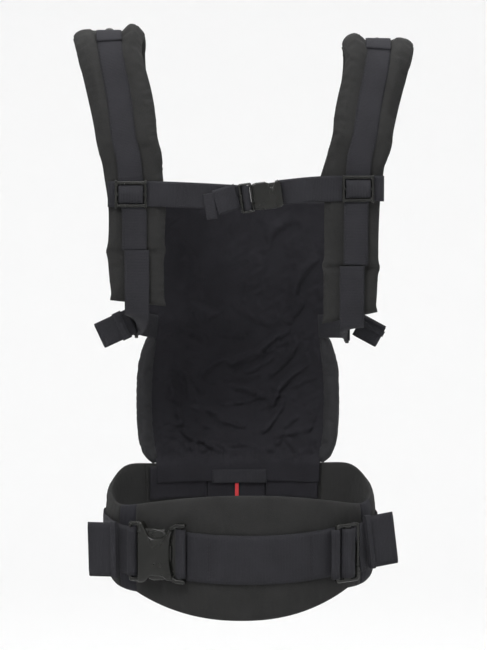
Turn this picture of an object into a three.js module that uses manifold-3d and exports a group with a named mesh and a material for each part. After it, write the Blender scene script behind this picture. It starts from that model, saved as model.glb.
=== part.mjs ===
// A soft baby carrier, worn and buckled: padded waist ring, seat panel, two shoulder straps and a chest strap.
//
// Millimetres, +Z up. The wearer faces +Y, so the panel that holds the baby is on the +Y side, and the lumbar
// pad and the free ends of the shoulder straps are on the -Y side. +X is the wearer's right.
// The origin is the middle of the waist ring, half way up its webbing.

import * as THREE from 'three';
import { mergeVertices } from 'three/addons/utils/BufferGeometryUtils.js';
import Module from 'manifold-3d';

const wasm = await Module();
wasm.setup();

// ---------------------------------------------------------------- driving dimensions

const GAP = 0.35; // clearance between pieces that touch

// Waist ring: a rounded plan outline |x/a|^n + |y/b|^n = 1 through the middle of the padding.
const RING = { a: 132, b: 94, n: 2.3 };
const BELT = { thickness: 10, sideTop: 64, sideBottom: -28, backTop: 66, backBottom: -34 };
const LUMBAR = { left: -104, right: 116, top: 62, bottom: -61.5, thickness: 12.5 };
const END_STRIP = { left: -119, right: 127 };
const PANEL_JOIN = { left: -97, right: 87 };

const WAIST_WEBBING = { width: 48, thickness: 1.8 };
const STRAP_WEBBING = { width: 24, thickness: 1.5 };
const CHEST_WEBBING = { width: 25, thickness: 1.4 };

// Seat panel: half width, depth at the middle and forward curl at the edges, by height.
const PANEL = {
  bottom: 67.5,
  top: 337,
  thickness: 1.8,
  halfWidth: [[67, 84], [80, 88], [100, 90.5], [131, 91.5], [165, 90.5], [185, 88], [200, 87.5], [215, 89.5],
    [235, 95], [265, 102], [300, 108], [340, 110]],
  depth: [[67, 95], [90, 110], [115, 120], [150, 124], [190, 117], [240, 104], [290, 92], [340, 84]],
  curl: [[67, 17], [100, 30], [150, 38], [200, 30], [250, 20], [340, 10]],
};
const SEAT_EDGE = { bottom: 74, top: 188, width: 12.4, thickness: 11 };

// Shoulder straps. The upper run goes from the panel's corner over the top; from zoneTop to zoneBottom the strap
// is straight and upright, because the chest strap's slider travels there.
const STRAP = { thickness: 13, zoneTop: 387, zoneBottom: 290, zoneY: -50 };
const SHOULDERS = [
  {
    side: 'left',
    sign: -1,
    over: [[-104, 78, 341], [-112, 70, 400], [-121, 52, 452], [-128, 26, 494], [-130, 0, 505],
      [-128.5, -22, 488], [-117, -40, 440], [-111, -48.5, 405]],
    zoneX: -105,
    end: [-102.5, -51, 246],
    webbingShift: -3.5,
    widths: [[0, 60], [0.3, 60], [0.42, 70], [0.5, 62], [0.6, 62], [0.72, 58], [0.85, 55], [0.9, 57], [1, 51]],
    seam: 297,
    sliderZ: 353,
    adjuster: [-104, 0, 222],
    tail: [[-110, -19, 224.5], [-141.5, -21, 210]],
  },
  {
    side: 'right',
    sign: 1,
    over: [[106, 78, 341], [119, 70, 398], [130, 52, 446], [136, 26, 484], [136, 0, 497],
      [134, -22, 480], [122.5, -40, 437], [115.5, -48.5, 405]],
    zoneX: 109,
    end: [106.5, -51, 231],
    webbingShift: 3.5,
    widths: [[0, 60], [0.3, 58], [0.42, 69], [0.5, 62], [0.6, 60], [0.72, 56], [0.85, 53], [0.92, 55], [1, 51]],
    seam: 281,
    sliderZ: 358,
    adjuster: [106, 0, 216],
    tail: [[133, -19.5, 225], [121.5, -21.5, 204]],
  },
];

// Chest strap hardware and its place between the straps.
const SLIDER = { width: 29.5, height: 27, rail: 2.4, bar: 3.4, depth: 2.4 };
const CHEST_BUCKLE = { x: 12.5, y: -60.5, z: 350.5, tilt: 8 };
const CHEST_REACH = { left: -131, right: 138 };

const WAIST_BUCKLE = { x: -85, y: -91.5, z: 6.5, yaw: -20 };
const WAIST_ADJUSTER = { x: 101.5, y: -84.5, z: 3.5, yaw: 33, width: 28, height: 58 };

// Side-release buckle sizes: the waist's, then the chest's.
const BIG_BUCKLE = {
  body: [-18, 16], bar: 9, height: 60, thickness: 11, wall: 2.2, scallop: [-9, 9, 12],
  plug: [17, 30], plugHeight: 58, slot: [21, 25.5], barSlot: [-24.5, -19], webbing: 50,
  rib: 17, arm: [16.8, 22.8], barb: 28, reach: -8,
};
const SMALL_BUCKLE = {
  body: [-1.5, 27], bar: 0, height: 27, thickness: 8, wall: 1.6, scallop: [5, 17, 4],
  plug: [-15.5, -2.2], plugHeight: 29, slot: [-11.5, -8], barSlot: [21.5, 24.5], webbing: 25.6,
  rib: 7, arm: [6.6, 9.6], barb: 12.6, reach: 15,
};

const COLOURS = {
  canvas: { color: 0x23241f, roughness: 0.92, metalness: 0 },
  lining: { color: 0x17171d, roughness: 0.95, metalness: 0 },
  webbing: { color: 0x1c1d25, roughness: 0.85, metalness: 0 },
  plastic: { color: 0x181815, roughness: 0.42, metalness: 0 },
  label: { color: 0xa5232b, roughness: 0.8, metalness: 0 },
};

// ---------------------------------------------------------------- small helpers

const carrier = new THREE.Group();
const UP = new THREE.Vector3(0, 0, 1);
const ACROSS = new THREE.Vector3(1, 0, 0);

function vector([x, y, z]) {
  return new THREE.Vector3(x, y, z);
}

function mix(a, b, t) {
  return a + (b - a) * t;
}

// Smooth value at x from a list of [x, value] pairs.
function profile(pairs, x) {
  const last = pairs.length - 1;
  if (x <= pairs[0][0]) return pairs[0][1];
  if (x >= pairs[last][0]) return pairs[last][1];
  const i = pairs.findIndex((pair) => pair[0] > x) - 1;
  const slope = (k) => {
    const [before, after] = [pairs[Math.max(k - 1, 0)], pairs[Math.min(k + 1, last)]];
    return (after[1] - before[1]) / (after[0] - before[0]);
  };
  const [[x0, y0], [x1, y1]] = [pairs[i], pairs[i + 1]];
  const h = x1 - x0;
  const t = (x - x0) / h;
  const rise = y0 * (1 + 2 * t) * (1 - t) ** 2 + y1 * t * t * (3 - 2 * t);
  return rise + h * (slope(i) * t * (1 - t) ** 2 - slope(i + 1) * t * t * (1 - t));
}

function addPiece(name, geometry, look, parent = carrier) {
  const mesh = new THREE.Mesh(geometry, new THREE.MeshStandardMaterial(COLOURS[look]));
  mesh.name = name;
  parent.add(mesh);
  return mesh;
}

// Winds the triangles so that the faces point out.
function outward(geometry) {
  const p = geometry.getAttribute('position');
  const index = geometry.getIndex().array;
  const [a, b, c] = [new THREE.Vector3(), new THREE.Vector3(), new THREE.Vector3()];
  let volume = 0;
  for (let i = 0; i < index.length; i += 3) {
    a.fromBufferAttribute(p, index[i]);
    b.fromBufferAttribute(p, index[i + 1]);
    c.fromBufferAttribute(p, index[i + 2]);
    volume += a.dot(b.cross(c));
  }
  if (volume < 0) {
    for (let i = 0; i < index.length; i += 3) {
      [index[i + 1], index[i + 2]] = [index[i + 2], index[i + 1]];
    }
  }
  geometry.computeVertexNormals();
  return geometry;
}

// Triangles that close an end ring: a fan round its middle, or a strip between its two long sides.
function capTriangles(first, count, points, isStrip) {
  const triangles = [];
  if (isStrip) {
    for (let j = 0; j < count / 2 - 1; j += 1) {
      const [a, b, c, d] = [j, j + 1, count - 2 - j, count - 1 - j].map((k) => first + k);
      triangles.push([a, b, c], [a, c, d]);
    }
    return triangles;
  }
  const middle = new THREE.Vector3();
  for (let j = 0; j < count; j += 1) middle.addScaledVector(points[first + j], 1 / count);
  const hub = points.push(middle) - 1;
  for (let j = 0; j < count; j += 1) triangles.push([hub, first + j, first + ((j + 1) % count)]);
  return triangles;
}

// Closed body through rings of points.
function loft(rings, isStrip = false) {
  const count = rings[0].length;
  const points = rings.flat();
  const index = [];
  for (let i = 0; i < rings.length - 1; i += 1) {
    for (let j = 0; j < count; j += 1) {
      const a = i * count + j;
      const b = i * count + ((j + 1) % count);
      index.push(a, b, a + count, b, b + count, a + count);
    }
  }
  for (const [a, b, c] of capTriangles(0, count, points, isStrip)) index.push(a, c, b);
  index.push(...capTriangles((rings.length - 1) * count, count, points, isStrip).flat());
  const geometry = new THREE.BufferGeometry();
  geometry.setAttribute('position', new THREE.Float32BufferAttribute(points.flatMap((v) => [v.x, v.y, v.z]), 3));
  geometry.setIndex(index);
  return outward(geometry);
}

const FLAT = [[-1, -1], [1, -1], [1, 1], [-1, 1]];
const CROWNED = [0, 1, 2, 3, 4, 5, 6, 7, 8, 9].map((k) => {
  const angle = (k / 10) * 2 * Math.PI;
  const [c, s] = [Math.cos(angle), Math.sin(angle)];
  return [Math.sign(c) * Math.abs(c) ** 0.6, Math.sign(s) * Math.abs(s) ** 0.85];
});

// Sweeps an outline through stations {at, wide, out, width, thickness}.
function sweep(stations, outline) {
  return loft(stations.map((s) => outline.map(([u, v]) => s.at.clone()
    .addScaledVector(s.wide, (u * s.width) / 2)
    .addScaledVector(s.out, (v * s.thickness) / 2))));
}

// Flat strip along points, each [x, y, z, turn]: turn 0 has the width along X and turn 90 upright.
function ribbon(points, width, thickness, steps) {
  const path = new THREE.CatmullRomCurve3(points.map((p) => vector(p)), false, 'centripetal');
  const stations = [];
  for (let i = 0; i <= steps; i += 1) {
    const t = i / steps;
    const along = path.getTangent(t);
    const k = Math.min(Math.floor(t * (points.length - 1)), points.length - 2);
    const turn = mix(points[k][3] ?? 0, points[k + 1][3] ?? 0, t * (points.length - 1) - k);
    const wide = ACROSS.clone().multiplyScalar(Math.cos(THREE.MathUtils.degToRad(turn)))
      .addScaledVector(UP, Math.sin(THREE.MathUtils.degToRad(turn)));
    wide.addScaledVector(along, -wide.dot(along)).normalize();
    stations.push({ at: path.getPoint(t), wide, out: along.clone().cross(wide).normalize(), width, thickness });
  }
  return sweep(stations, FLAT);
}

// Closed thin solid on both sides of a surface given by place(u, v), u and v from 0 to 1.
function sheet(place, columns, rows, thickness) {
  const at = (u, v) => place(u, v);
  const normal = (u, v) => {
    const step = 0.004;
    const du = at(Math.min(u + step, 1), v).sub(at(Math.max(u - step, 0), v));
    const dv = at(u, Math.min(v + step, 1)).sub(at(u, Math.max(v - step, 0)));
    return du.cross(dv).normalize();
  };
  const rings = [];
  for (let i = 0; i <= columns; i += 1) {
    const u = i / columns;
    const face = (sign) => Array.from({ length: rows + 1 }, (_, k) => k / rows)
      .map((v) => at(u, v).addScaledVector(normal(u, v), (sign * thickness) / 2));
    rings.push([...face(1), ...face(-1).reverse()]);
  }
  return loft(rings, true);
}

// ---------------------------------------------------------------- solids cut by manifold-3d

function toSolid(geometry) {
  const bare = geometry.clone();
  bare.deleteAttribute('normal');
  bare.deleteAttribute('uv');
  const merged = mergeVertices(bare, 1e-4);
  return new wasm.Manifold(new wasm.Mesh({
    numProp: 3,
    vertProperties: new Float32Array(merged.getAttribute('position').array),
    triVerts: new Uint32Array(merged.getIndex().array),
  }));
}

function toGeometry(solid) {
  const mesh = solid.getMesh();
  const geometry = new THREE.BufferGeometry();
  geometry.setAttribute('position', new THREE.BufferAttribute(mesh.vertProperties, 3));
  geometry.setIndex(new THREE.BufferAttribute(mesh.triVerts, 1));
  geometry.computeVertexNormals();
  return geometry;
}

// Solid box between two corners.
function block([x0, x1], [y0, y1], [z0, z1]) {
  const box = new THREE.BoxGeometry(x1 - x0, y1 - y0, z1 - z0);
  box.translate((x0 + x1) / 2, (y0 + y1) / 2, (z0 + z1) / 2);
  return toSolid(box);
}

// Plate of an x-z outline, centred on y = 0.
function plate(outline, thickness, bevel = 0) {
  const settings = { depth: thickness - 2 * bevel, curveSegments: 5, bevelEnabled: bevel > 0 };
  Object.assign(settings, { bevelThickness: bevel, bevelSize: bevel, bevelOffset: -bevel, bevelSegments: 1 });
  const geometry = new THREE.ExtrudeGeometry(outline, settings);
  geometry.translate(0, 0, bevel - thickness / 2);
  geometry.rotateX(Math.PI / 2);
  return geometry;
}

function roundedOutline([x0, x1], [z0, z1], r) {
  const s = new THREE.Shape();
  s.moveTo(x0 + r, z0);
  s.lineTo(x1 - r, z0);
  s.quadraticCurveTo(x1, z0, x1, z0 + r);
  s.lineTo(x1, z1 - r);
  s.quadraticCurveTo(x1, z1, x1 - r, z1);
  s.lineTo(x0 + r, z1);
  s.quadraticCurveTo(x0, z1, x0, z1 - r);
  s.lineTo(x0, z0 + r);
  s.quadraticCurveTo(x0, z0, x0 + r, z0);
  return s;
}

// ---------------------------------------------------------------- waist ring

// Ring parameter: 0 at the middle of the lumbar pad, growing towards +X, half a turn at the panel.
function ringPlace(t, offset, z) {
  const power = 2 / RING.n;
  const x = RING.a * Math.sign(Math.sin(t)) * Math.abs(Math.sin(t)) ** power;
  const y = -RING.b * Math.sign(Math.cos(t)) * Math.abs(Math.cos(t)) ** power;
  const out = new THREE.Vector3(
    (Math.sign(x) * Math.abs(x / RING.a) ** (RING.n - 1)) / RING.a,
    (Math.sign(y) * Math.abs(y / RING.b) ** (RING.n - 1)) / RING.b,
    0,
  ).normalize();
  return { at: new THREE.Vector3(x, y, z).addScaledVector(out, offset), out };
}

function ringParameter(x, atPanel) {
  const t = Math.asin((Math.abs(x) / RING.a) ** (RING.n / 2));
  return Math.sign(x) * (atPanel ? Math.PI - t : t);
}

function lumbarTop(x) {
  return LUMBAR.top - 13 * (Math.abs(x) / 105) ** 2.2;
}

function lumbarBottom(x) {
  return LUMBAR.bottom + (x < 0 ? 21.5 : 24.5) * (Math.abs(x) / 100) ** 2.2;
}

// Height limits of the padded belt at a ring parameter.
function beltSpan(t) {
  const { at } = ringPlace(t, 0, 0);
  const front = [lumbarTop(at.x), lumbarBottom(at.x)];
  const ease = THREE.MathUtils.smoothstep(at.y, -60, 15);
  const back = THREE.MathUtils.smoothstep(at.y, 0, 75);
  const shoulder = 5 * Math.exp(-(((at.y - 52) / 24) ** 2));
  return [
    mix(front[0], mix(BELT.sideTop, BELT.backTop, back), ease) + shoulder,
    mix(front[1], mix(BELT.sideBottom, BELT.backBottom, back), ease),
  ];
}

// Piece of the ring between two parameters. span gives its top and bottom.
function band(t0, t1, steps, { offset = 0, thickness, span, outline = CROWNED, ends = 1 }) {
  const stations = [];
  for (let i = 0; i <= steps; i += 1) {
    const s = i / steps;
    const t = mix(t0, t1, s);
    const [top, bottom] = span(t);
    const { at, out } = ringPlace(t, offset, (top + bottom) / 2);
    const taper = mix(ends, 1, Math.min(1, 8 * s, 8 * (1 - s)));
    stations.push({ at, wide: UP, out, width: top - bottom, thickness: thickness * taper });
  }
  return sweep(stations, outline);
}

function addBelt() {
  const join = 0.4; // sewn seams between neighbouring belt sections
  const front = (x) => ringParameter(x, false);
  const panel = (x) => ringParameter(x, true);
  const padded = { thickness: BELT.thickness, span: beltSpan };
  const cushion = { thickness: LUMBAR.thickness, span: beltSpan, ends: 0.75 };
  addPiece('lumbar_pad', band(front(LUMBAR.left), front(LUMBAR.right), 22, cushion), 'canvas');
  const strip = { ...padded, thickness: 7, ends: 0.9 };
  addPiece('belt_end_strip_left', band(front(END_STRIP.left), front(LUMBAR.left - join), 3, strip), 'webbing');
  addPiece('belt_end_strip_right', band(front(LUMBAR.right + join), front(END_STRIP.right), 3, strip), 'webbing');
  const wing = (strip0, edge) => band(front(strip0), panel(edge), 13, { ...padded, ends: 0.8 });
  addPiece('waist_wing_left', wing(END_STRIP.left - join, PANEL_JOIN.left), 'canvas');
  addPiece('waist_wing_right', wing(END_STRIP.right + join, PANEL_JOIN.right), 'canvas');
  const base = [panel(PANEL_JOIN.right - join), 2 * Math.PI + panel(PANEL_JOIN.left + join)];
  addPiece('belt_base', band(...base, 12, { ...padded, thickness: 8 }), 'canvas');
}

// Flat pieces sewn to the inner face of the belt base.
function addBaseFlaps() {
  const inner = -(4 + GAP + 0.9);
  const flap = (x0, x1, top, bottom, thickness, steps) => {
    const [t0, t1] = [x1, x0].map((x) => (x < 0 ? 2 * Math.PI : 0) + ringParameter(x, true));
    return band(t0, t1, steps, { offset: inner, thickness, span: () => [top, bottom], outline: FLAT });
  };
  addPiece('seat_flap_left', flap(-94, -36, 66, 31, 1.6, 6), 'lining');
  addPiece('seat_flap_right', flap(34, 85, 66, 31, 1.6, 6), 'lining');
  addPiece('base_tab', flap(-27, 31, 57, 45, 1.8, 5), 'webbing');
  addPiece('care_label', flap(-5.5, -0.5, 44.4, 31, 0.8, 1), 'label');
}

// ---------------------------------------------------------------- seat panel

function panelPlace(x, z, offset = 0) {
  const half = profile(PANEL.halfWidth, z);
  const y = profile(PANEL.depth, z) - profile(PANEL.curl, z) * Math.abs(x / half) ** 2.2;
  return new THREE.Vector3(x, y + offset, z);
}

function addPanel() {
  const surface = (offset, top, bottom) => (u, v) => {
    const z = mix(bottom, top, v);
    return panelPlace(mix(-1, 1, u) * profile(PANEL.halfWidth, z), z, offset);
  };
  const spread = 2.3; // lining and shell stand this far either side of the panel's middle surface
  const inside = sheet(surface(-spread, PANEL.top, PANEL.bottom), 14, 16, PANEL.thickness);
  addPiece('panel_lining', inside, 'lining');
  const outside = sheet(surface(spread, PANEL.top, PANEL.bottom), 14, 16, PANEL.thickness);
  addPiece('panel_shell', outside, 'canvas');
  for (const [side, sign] of [['left', -1], ['right', 1]]) {
    const stations = [];
    for (let i = 0; i <= 12; i += 1) {
      const z = mix(SEAT_EDGE.bottom, SEAT_EDGE.top, i / 12);
      const half = profile(PANEL.halfWidth, z);
      const at = panelPlace(sign * half, z);
      at.x += sign * (SEAT_EDGE.width / 2 + 2.6);
      at.y -= 5;
      const fullness = mix(0.45, 1, Math.min(1, i / 2, (12 - i) / 2));
      const size = { width: SEAT_EDGE.width, thickness: SEAT_EDGE.thickness * fullness };
      stations.push({ at, wide: ACROSS, out: new THREE.Vector3(0, 1, 0), ...size });
    }
    addPiece(`seat_edge_${side}`, sweep(stations, CROWNED), 'canvas');
  }
}

// Padded neck support folded down behind the panel's top, with the two buttons that hold it.
function addNeckSupport() {
  const pad = { halfWidth: 78, bottom: 290, top: 333, thickness: 9 };
  const stations = [];
  for (let i = 0; i <= 10; i += 1) {
    const x = mix(-pad.halfWidth, pad.halfWidth, i / 10);
    const middle = (pad.bottom + pad.top) / 2;
    const lean = panelPlace(x, pad.top).sub(panelPlace(x, pad.bottom)).normalize();
    const fullness = mix(0.6, 1, Math.min(1, i / 2, (10 - i) / 2));
    const size = { width: pad.top - pad.bottom, thickness: pad.thickness * fullness };
    const at = panelPlace(x, middle, 4.2 + pad.thickness / 2);
    stations.push({ at, wide: lean, out: new THREE.Vector3(0, 1, 0), ...size });
  }
  addPiece('neck_support', sweep(stations, CROWNED), 'canvas');
  for (const [side, sign] of [['left', -1], ['right', 1]]) {
    const button = new THREE.CylinderGeometry(7, 7, 2.4, 16);
    const place = panelPlace(sign * 62, 279, 7.4);
    addPiece(`neck_button_${side}`, button, 'plastic').position.copy(place);
  }
}

// ---------------------------------------------------------------- shoulder straps

// Stations along a strap: over the shoulder, then the straight zone, then the free end.
function strapStations(shoulder) {
  const over = new THREE.CatmullRomCurve3([...shoulder.over, [shoulder.zoneX, STRAP.zoneY, STRAP.zoneTop]]
    .map(vector), false, 'centripetal');
  const zoneTop = new THREE.Vector3(shoulder.zoneX, STRAP.zoneY, STRAP.zoneTop);
  const zoneBottom = new THREE.Vector3(shoulder.zoneX, STRAP.zoneY, STRAP.zoneBottom);
  const zone = new THREE.LineCurve3(zoneTop, zoneBottom);
  const free = new THREE.LineCurve3(zoneBottom, vector(shoulder.end));
  const places = [];
  for (const [curve, steps] of [[over, 18], [zone, 4], [free, 3]]) {
    for (let i = places.length ? 1 : 0; i <= steps; i += 1) places.push(curve.getPointAt(i / steps));
  }
  return places.map((at, i) => {
    const before = places[Math.max(i - 1, 0)];
    const after = places[Math.min(i + 1, places.length - 1)];
    const along = after.clone().sub(before).normalize();
    const wide = ACROSS.clone().addScaledVector(along, -along.x).normalize();
    const out = along.clone().cross(wide).normalize();
    const s = i / (places.length - 1);
    const taper = Math.min(1, 0.6 + 0.4 * Math.min(i, places.length - 1 - i));
    return { at, wide, out, width: profile(shoulder.widths, s), thickness: STRAP.thickness * taper };
  });
}

// Webbing sewn along the strap's outer face, from the fold at the top down to the cross seam.
function addStrapWebbing(shoulder, stations) {
  const first = stations.findIndex((s) => s.at.y < 2);
  const lift = STRAP.thickness / 2 + CHEST_WEBBING.thickness + 2 * GAP + STRAP_WEBBING.thickness / 2;
  const strips = stations.slice(first)
    .filter((s) => s.at.z > shoulder.seam + 6)
    .map((s) => {
      const nearZone = 1 - THREE.MathUtils.smoothstep(s.at.z, STRAP.zoneTop, STRAP.zoneTop + 100);
      const at = s.at.clone()
        .addScaledVector(s.out, lift)
        .addScaledVector(s.wide, shoulder.webbingShift * nearZone);
      return { ...s, at, width: STRAP_WEBBING.width, thickness: STRAP_WEBBING.thickness };
    });
  const last = strips[strips.length - 1];
  strips.push({ ...last, at: new THREE.Vector3(last.at.x, last.at.y, shoulder.seam + GAP) });
  addPiece(`strap_webbing_${shoulder.side}`, sweep(strips, FLAT), 'webbing');
  return last.at;
}

// Lower webbing: sewn over the strap's free end, then back and twisted upright to the side adjuster.
function addLowerWebbing(shoulder, top) {
  const [x, y, z] = shoulder.adjuster;
  const face = shoulder.end[1] - STRAP.thickness / 2 - GAP - 1.2;
  const points = [
    [top.x, face - 1, shoulder.seam - 2.5],
    [shoulder.end[0], face, shoulder.end[2] + 6],
    [shoulder.end[0], face + 4, shoulder.end[2] - 9],
    [mix(shoulder.end[0], x, 0.5), -38, z + 4, shoulder.sign * 50],
    [x, -15.5, z, shoulder.sign * 90],
  ];
  addPiece(`lower_webbing_${shoulder.side}`, ribbon(points, STRAP_WEBBING.width, 1.6, 16), 'webbing');
}

function ladderLock() {
  const outline = roundedOutline([-12, 12], [-15, 15], 3);
  outline.holes.push(roundedOutline([-9.4, -2.6], [-12.6, 12.6], 1));
  outline.holes.push(roundedOutline([1.4, 8.6], [-12.6, 12.6], 1));
  return plate(outline, 3.6, 0.6);
}

function addSideAdjuster(shoulder) {
  const { side, sign, adjuster, tail } = shoulder;
  const [x, y, z] = adjuster;
  const lock = addPiece(`side_adjuster_${side}`, ladderLock(), 'plastic');
  lock.position.set(x, y, z);
  lock.rotation.z = Math.PI / 2;
  const edge = panelPlace(sign * profile(PANEL.halfWidth, 209), 209);
  const tab = [
    [x, y + 16, z, 90],
    [mix(x, edge.x, 0.5) + sign * 2, mix(y, edge.y, 0.55), mix(z, 209, 0.5), 90],
    [edge.x + sign * 6.5, edge.y - 6, 209, 90],
  ];
  addPiece(`side_tab_${side}`, ribbon(tab, STRAP_WEBBING.width, 1.6, 6), 'webbing');
  const [root, tip] = tail.map(vector);
  const along = tip.clone().sub(root).normalize();
  const out = new THREE.Vector3(0, -1, 0);
  const wide = along.clone().cross(out).normalize();
  const stations = [root, root.clone().lerp(tip, 0.5), tip]
    .map((at) => ({ at, wide, out, width: STRAP_WEBBING.width, thickness: 4.4 }));
  addPiece(`side_tail_${side}`, sweep(stations, FLAT), 'webbing');
  const keeper = { width: STRAP_WEBBING.width + 3.4, thickness: 7 };
  const hollow = { width: STRAP_WEBBING.width + 0.8, thickness: 5.2 };
  const span = (size, from, to) => toSolid(sweep([from, to].map((t) => ({
    at: root.clone().lerp(tip, t), wide, out, ...size,
  })), FLAT));
  const loop = span(keeper, 0.22, 0.46).subtract(span(hollow, 0, 1));
  addPiece(`side_keeper_${side}`, toGeometry(loop), 'webbing');
}

// Snap that holds the sleeping hood, on the inner side of the webbing's top hem.
function addHoodSnap(shoulder, stations) {
  const top = stations.findIndex((s) => s.at.y < 8);
  const { at, out } = stations[top - 1];
  const snap = addPiece(`hood_snap_${shoulder.side}`, new THREE.CylinderGeometry(4, 4.6, 3, 12), 'plastic');
  snap.position.copy(at).addScaledVector(out, STRAP.thickness / 2 + 2);
  snap.quaternion.setFromUnitVectors(new THREE.Vector3(0, 1, 0), out);
}

function addShoulder(shoulder) {
  const stations = strapStations(shoulder);
  addPiece(`shoulder_pad_${shoulder.side}`, sweep(stations, CROWNED), 'canvas');
  const seam = addStrapWebbing(shoulder, stations);
  addLowerWebbing(shoulder, seam);
  addSideAdjuster(shoulder);
  addHoodSnap(shoulder, stations);
}

// ---------------------------------------------------------------- buckles

// Side-release buckle along local x, seen from -y. grow is +1 where the plug is on the +x side.
function addBuckle(parent, name, size, grow) {
  const half = size.height / 2;
  const [x0, x1] = size.body;
  const barEnd = x0 - size.bar;
  const body = roundedOutline([barEnd, x1], [-half, half], Math.min(4, half / 4));
  let housing = toSolid(plate(body, size.thickness, 0.8));
  const [s0, s1, depth] = size.scallop;
  const middle = (s0 + s1) / 2;
  for (const sign of [-1, 1]) {
    const dish = new THREE.CylinderGeometry((s1 - s0) / 2, (s1 - s0) / 2, size.thickness + 2, 20);
    dish.scale(1, 1, depth / ((s1 - s0) / 2));
    dish.translate(middle, 0, sign * half);
    housing = housing.subtract(toSolid(dish));
  }
  const inner = size.thickness / 2 - size.wall;
  const mouth = grow > 0 ? [x0 + 4, x1 + 2] : [x0 - 2, x1 - 8];
  housing = housing.subtract(block(mouth, [-inner, inner], [-half + 3, half - 3]));
  const barHole = [-size.thickness, size.thickness];
  housing = housing.subtract(block(size.barSlot, barHole, [-size.webbing / 2, size.webbing / 2]));
  if (size.bar) {
    const thin = [[size.thickness / 2 - 3, size.thickness], [-size.thickness, -size.thickness / 2 + 3]];
    for (const side of thin) {
      housing = housing.subtract(block([barEnd - 1, x0], side, [-half - 1, half + 1]));
    }
  }
  addPiece(`${name}_housing`, toGeometry(housing), 'plastic', parent);

  const [p0, p1] = size.plug;
  const plugHalf = size.plugHeight / 2;
  const base = roundedOutline([p0, p1], [-plugHalf, plugHalf], 3);
  let plug = toSolid(plate(base, size.thickness - 2, 0.8));
  plug = plug.subtract(block(size.slot, barHole, [-size.webbing / 2, size.webbing / 2]));
  const ribReach = grow > 0 ? [size.reach, p0 + 1] : [p1 - 1, size.reach - 2];
  plug = plug.add(block(ribReach, [-inner + 0.6, inner - 0.6], [-size.rib / 2, size.rib / 2]));
  addPiece(`${name}_plug`, toGeometry(plug), 'plastic', parent);

  const root = grow > 0 ? p0 - GAP : p1 + GAP;
  for (const [place, sign] of [['upper', 1], ['lower', -1]]) {
    const arm = new THREE.Shape();
    const [a0, a1] = size.arm;
    const barb = grow > 0 ? size.reach + 9 : size.reach - 6;
    arm.moveTo(root, sign * a0);
    arm.lineTo(root, sign * a1);
    arm.lineTo(barb, sign * a1);
    arm.lineTo(barb, sign * size.barb);
    arm.quadraticCurveTo(size.reach, sign * size.barb, size.reach, sign * a0);
    arm.closePath();
    addPiece(`${name}_prong_${place}`, plate(arm, 2 * inner - 1.2), 'plastic', parent);
  }
}

// ---------------------------------------------------------------- waist webbing and hardware

function onBelt(x0, x1, lift, height, thickness, steps, zAt) {
  const span = (t) => {
    const middle = zAt(ringPlace(t, 0, 0).at.x);
    return [middle + height / 2, middle - height / 2];
  };
  const [t0, t1] = [x0, x1].map((x) => ringParameter(x, false));
  return band(t0, t1, steps, { offset: lift, thickness, span, outline: FLAT });
}

function addWaistHardware() {
  const { width, thickness } = WAIST_WEBBING;
  const lift = LUMBAR.thickness / 2 + GAP + thickness / 2;
  const sag = (x) => 6 * (Math.abs(x - 10) / 90) ** 2;
  addPiece('waist_webbing_centre', onBelt(-54, 104, lift, width, thickness, 14, sag), 'webbing');

  const buckle = new THREE.Group();
  buckle.position.set(WAIST_BUCKLE.x, WAIST_BUCKLE.y, WAIST_BUCKLE.z);
  buckle.rotation.z = THREE.MathUtils.degToRad(WAIST_BUCKLE.yaw);
  carrier.add(buckle);
  addBuckle(buckle, 'waist_buckle', BIG_BUCKLE, 1);

  const frame = roundedOutline([-14, 14], [-29, 29], 3);
  frame.holes.push(roundedOutline([-10.6, -4.6], [-25.4, 25.4], 1));
  frame.holes.push(roundedOutline([3.4, 10.4], [-25.4, 25.4], 1));
  const adjuster = addPiece('waist_adjuster', plate(frame, 3.6, 0.7), 'plastic');
  adjuster.position.set(WAIST_ADJUSTER.x, WAIST_ADJUSTER.y, WAIST_ADJUSTER.z);
  adjuster.rotation.z = THREE.MathUtils.degToRad(WAIST_ADJUSTER.yaw);

  // Belt-side webbing, from the end strips round onto the wings.
  const sideLift = BELT.thickness / 2 + GAP + thickness / 2;
  for (const [side, x0, z] of [['left', -119.5, 8], ['right', 122, 4]]) {
    const span = () => [z + width / 2, z - width / 2];
    const t0 = ringParameter(x0, false);
    const t1 = Math.sign(x0) * (Math.PI / 2 + 0.12);
    const settings = { offset: sideLift, thickness, span, outline: FLAT };
    addPiece(`waist_webbing_${side}`, band(t0, t1, 7, settings), 'webbing');
  }

  // Folded free ends, each held by an elastic keeper.
  const tails = [
    { side: 'left', root: [-122, -80, 7], tip: [-152.5, -70, 4], keep: [0.04, 0.22] },
    { side: 'right', root: [121, -72, 7], tip: [151.5, -65, 13], keep: [0.04, 0.2] },
  ];
  for (const { side, root, tip, keep } of tails) {
    const along = vector(tip).sub(vector(root)).setZ(0).normalize();
    const out = new THREE.Vector3(along.y, -along.x, 0).multiplyScalar(Math.sign(along.x));
    const span = (size, from, to) => sweep([from, mix(from, to, 0.5), to].map((t) => ({
      at: vector(root).lerp(vector(tip), t), wide: UP, out, ...size,
    })), FLAT);
    const stack = { width: width + 4, thickness: 5 };
    addPiece(`waist_tail_${side}`, span(stack, 0, 1), 'webbing');
    const outer = toSolid(span({ width: stack.width + 3.6, thickness: 8 }, ...keep));
    const hollow = toSolid(span({ width: stack.width + 0.8, thickness: 5.8 }, -0.2, 1.2));
    addPiece(`waist_keeper_${side}`, toGeometry(outer.subtract(hollow)), 'webbing');
  }
}

// ---------------------------------------------------------------- chest strap

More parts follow.
